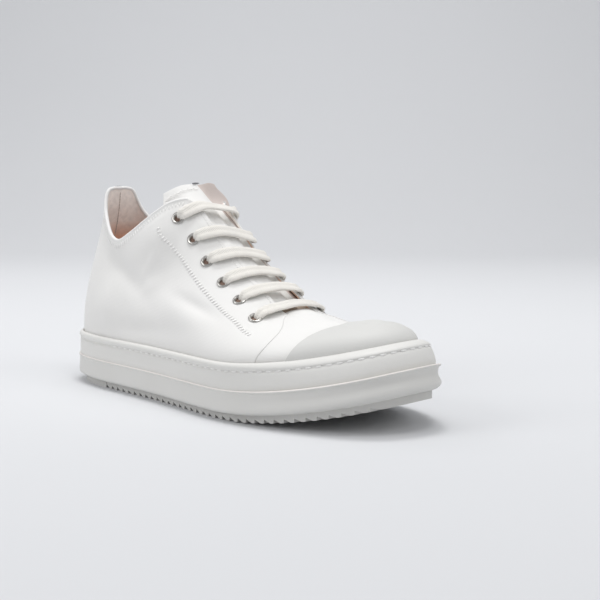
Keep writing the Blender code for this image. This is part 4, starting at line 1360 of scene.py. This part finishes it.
def build_floor():
    """Seamless paper: a floor that curves up into a backdrop behind the shoe."""
    right, back = view_axes()
    turn = np.linspace(0.0, math.pi / 2.0, 25)
    away = np.concatenate([[-3.0, -1.0, 0.0, 0.6], 1.2 + 1.2 * np.sin(turn), [2.4]])
    height = np.concatenate([[0.0] * 4, 1.2 - 1.2 * np.cos(turn), [4.0]])
    line = np.column_stack([-back.x * away, -back.y * away, height])
    across = np.array([-4.0, -1.0, 0.0, 1.0, 4.0])[:, None, None] * np.array(right)
    mesh = grid_mesh("studio_paper", line[None] + across)
    material, tree, shader = new_finish("matt_studio_paper", 0.95, Specular_IOR_Level=0.1)
    join(tree, shader, mottled(tree, object_place(tree), colours().paper, colours().paper_shade, 3.0))
    mesh.materials.append(material)
    mesh.shade_smooth()
    floor = bpy.data.objects.new("studio_paper", mesh)
    bpy.context.scene.collection.objects.link(floor)


def build_lights():
    """Softboxes over the shoe and round it, one for the paper, and light from all round."""
    world = bpy.data.worlds.new("studio_air")
    world.use_nodes = True
    background = world.node_tree.nodes["Background"]
    background.inputs["Color"].default_value = linear(colours().air)
    background.inputs["Strength"].default_value = AIR_STRENGTH
    bpy.context.scene.world = world
    bpy.context.scene.view_settings.view_transform = "Standard"
    right, back = view_axes()
    shoe = Vector((0.0, 0.0, 0.05))
    paper = Vector((0.0, 0.0, 0.3)) - back * 2.4
    for name, across, near, height, size, power, on_paper in SOFTBOXES:
        data = bpy.data.lights.new(name, "AREA")
        data.shape = "SQUARE"
        data.size = size
        data.energy = power
        light = bpy.data.objects.new(name, data)
        light.location = right * across + back * near + Vector((0.0, 0.0, height))
        aim = (paper if on_paper else shoe) - light.location
        light.rotation_mode = "QUATERNION"
        light.rotation_quaternion = aim.to_track_quat("-Z", "Y")
        bpy.context.scene.collection.objects.link(light)


def build_camera():
    """The photograph's view: from the lateral side, 44 degrees round to the toe."""
    back = view_axes()[1] * math.cos(CAMERA_ABOVE) + Vector((0.0, 0.0, math.sin(CAMERA_ABOVE)))
    data = bpy.data.cameras.new("photograph_camera")
    data.lens = 72.0
    data.sensor_width = 36.0
    camera = bpy.data.objects.new("photograph_camera", data)
    camera.location = Vector(CAMERA_PLACE) + Vector((box_shift(), 0.0, 0.0))
    camera.rotation_mode = "QUATERNION"
    camera.rotation_quaternion = (-back).to_track_quat("-Z", "Y")
    bpy.context.scene.collection.objects.link(camera)
    bpy.context.scene.camera = camera


OPERATORS = (
    SNEAKER_OT_sole, SNEAKER_OT_upper, SNEAKER_OT_toe_cap, SNEAKER_OT_tongue,
    SNEAKER_OT_stitches, SNEAKER_OT_lacing, SNEAKER_OT_stage,
)


class SNEAKER_PT_panel(bpy.types.Panel):
    """Lists the shoe's pieces, its sizes and its colours"""
    bl_label = "Sneaker"
    bl_idname = "SNEAKER_PT_panel"
    bl_space_type = "VIEW_3D"
    bl_region_type = "UI"
    bl_category = "Sneaker"

    def draw(self, context):
        for operator in OPERATORS:
            self.layout.operator(operator.bl_idname)
        for group in (context.scene.sneaker_sizes, context.scene.sneaker_colours):
            for name in type(group).__annotations__:
                self.layout.prop(group, name)


CLASSES = (SneakerSizes, SneakerColours) + OPERATORS + (SNEAKER_PT_panel,)


def register():
    for item in CLASSES:
        bpy.utils.register_class(item)
    bpy.types.Scene.sneaker_sizes = bpy.props.PointerProperty(type=SneakerSizes)
    bpy.types.Scene.sneaker_colours = bpy.props.PointerProperty(type=SneakerColours)


def unregister():
    del bpy.types.Scene.sneaker_colours
    del bpy.types.Scene.sneaker_sizes
    for item in reversed(CLASSES):
        bpy.utils.unregister_class(item)


def main():
    register()
    bpy.ops.sneaker.sole()
    bpy.ops.sneaker.upper()
    bpy.ops.sneaker.toe_cap()
    bpy.ops.sneaker.tongue()
    bpy.ops.sneaker.stitches()
    bpy.ops.sneaker.lacing()
    bpy.ops.sneaker.stage()


if __name__ == "__main__":
    main()
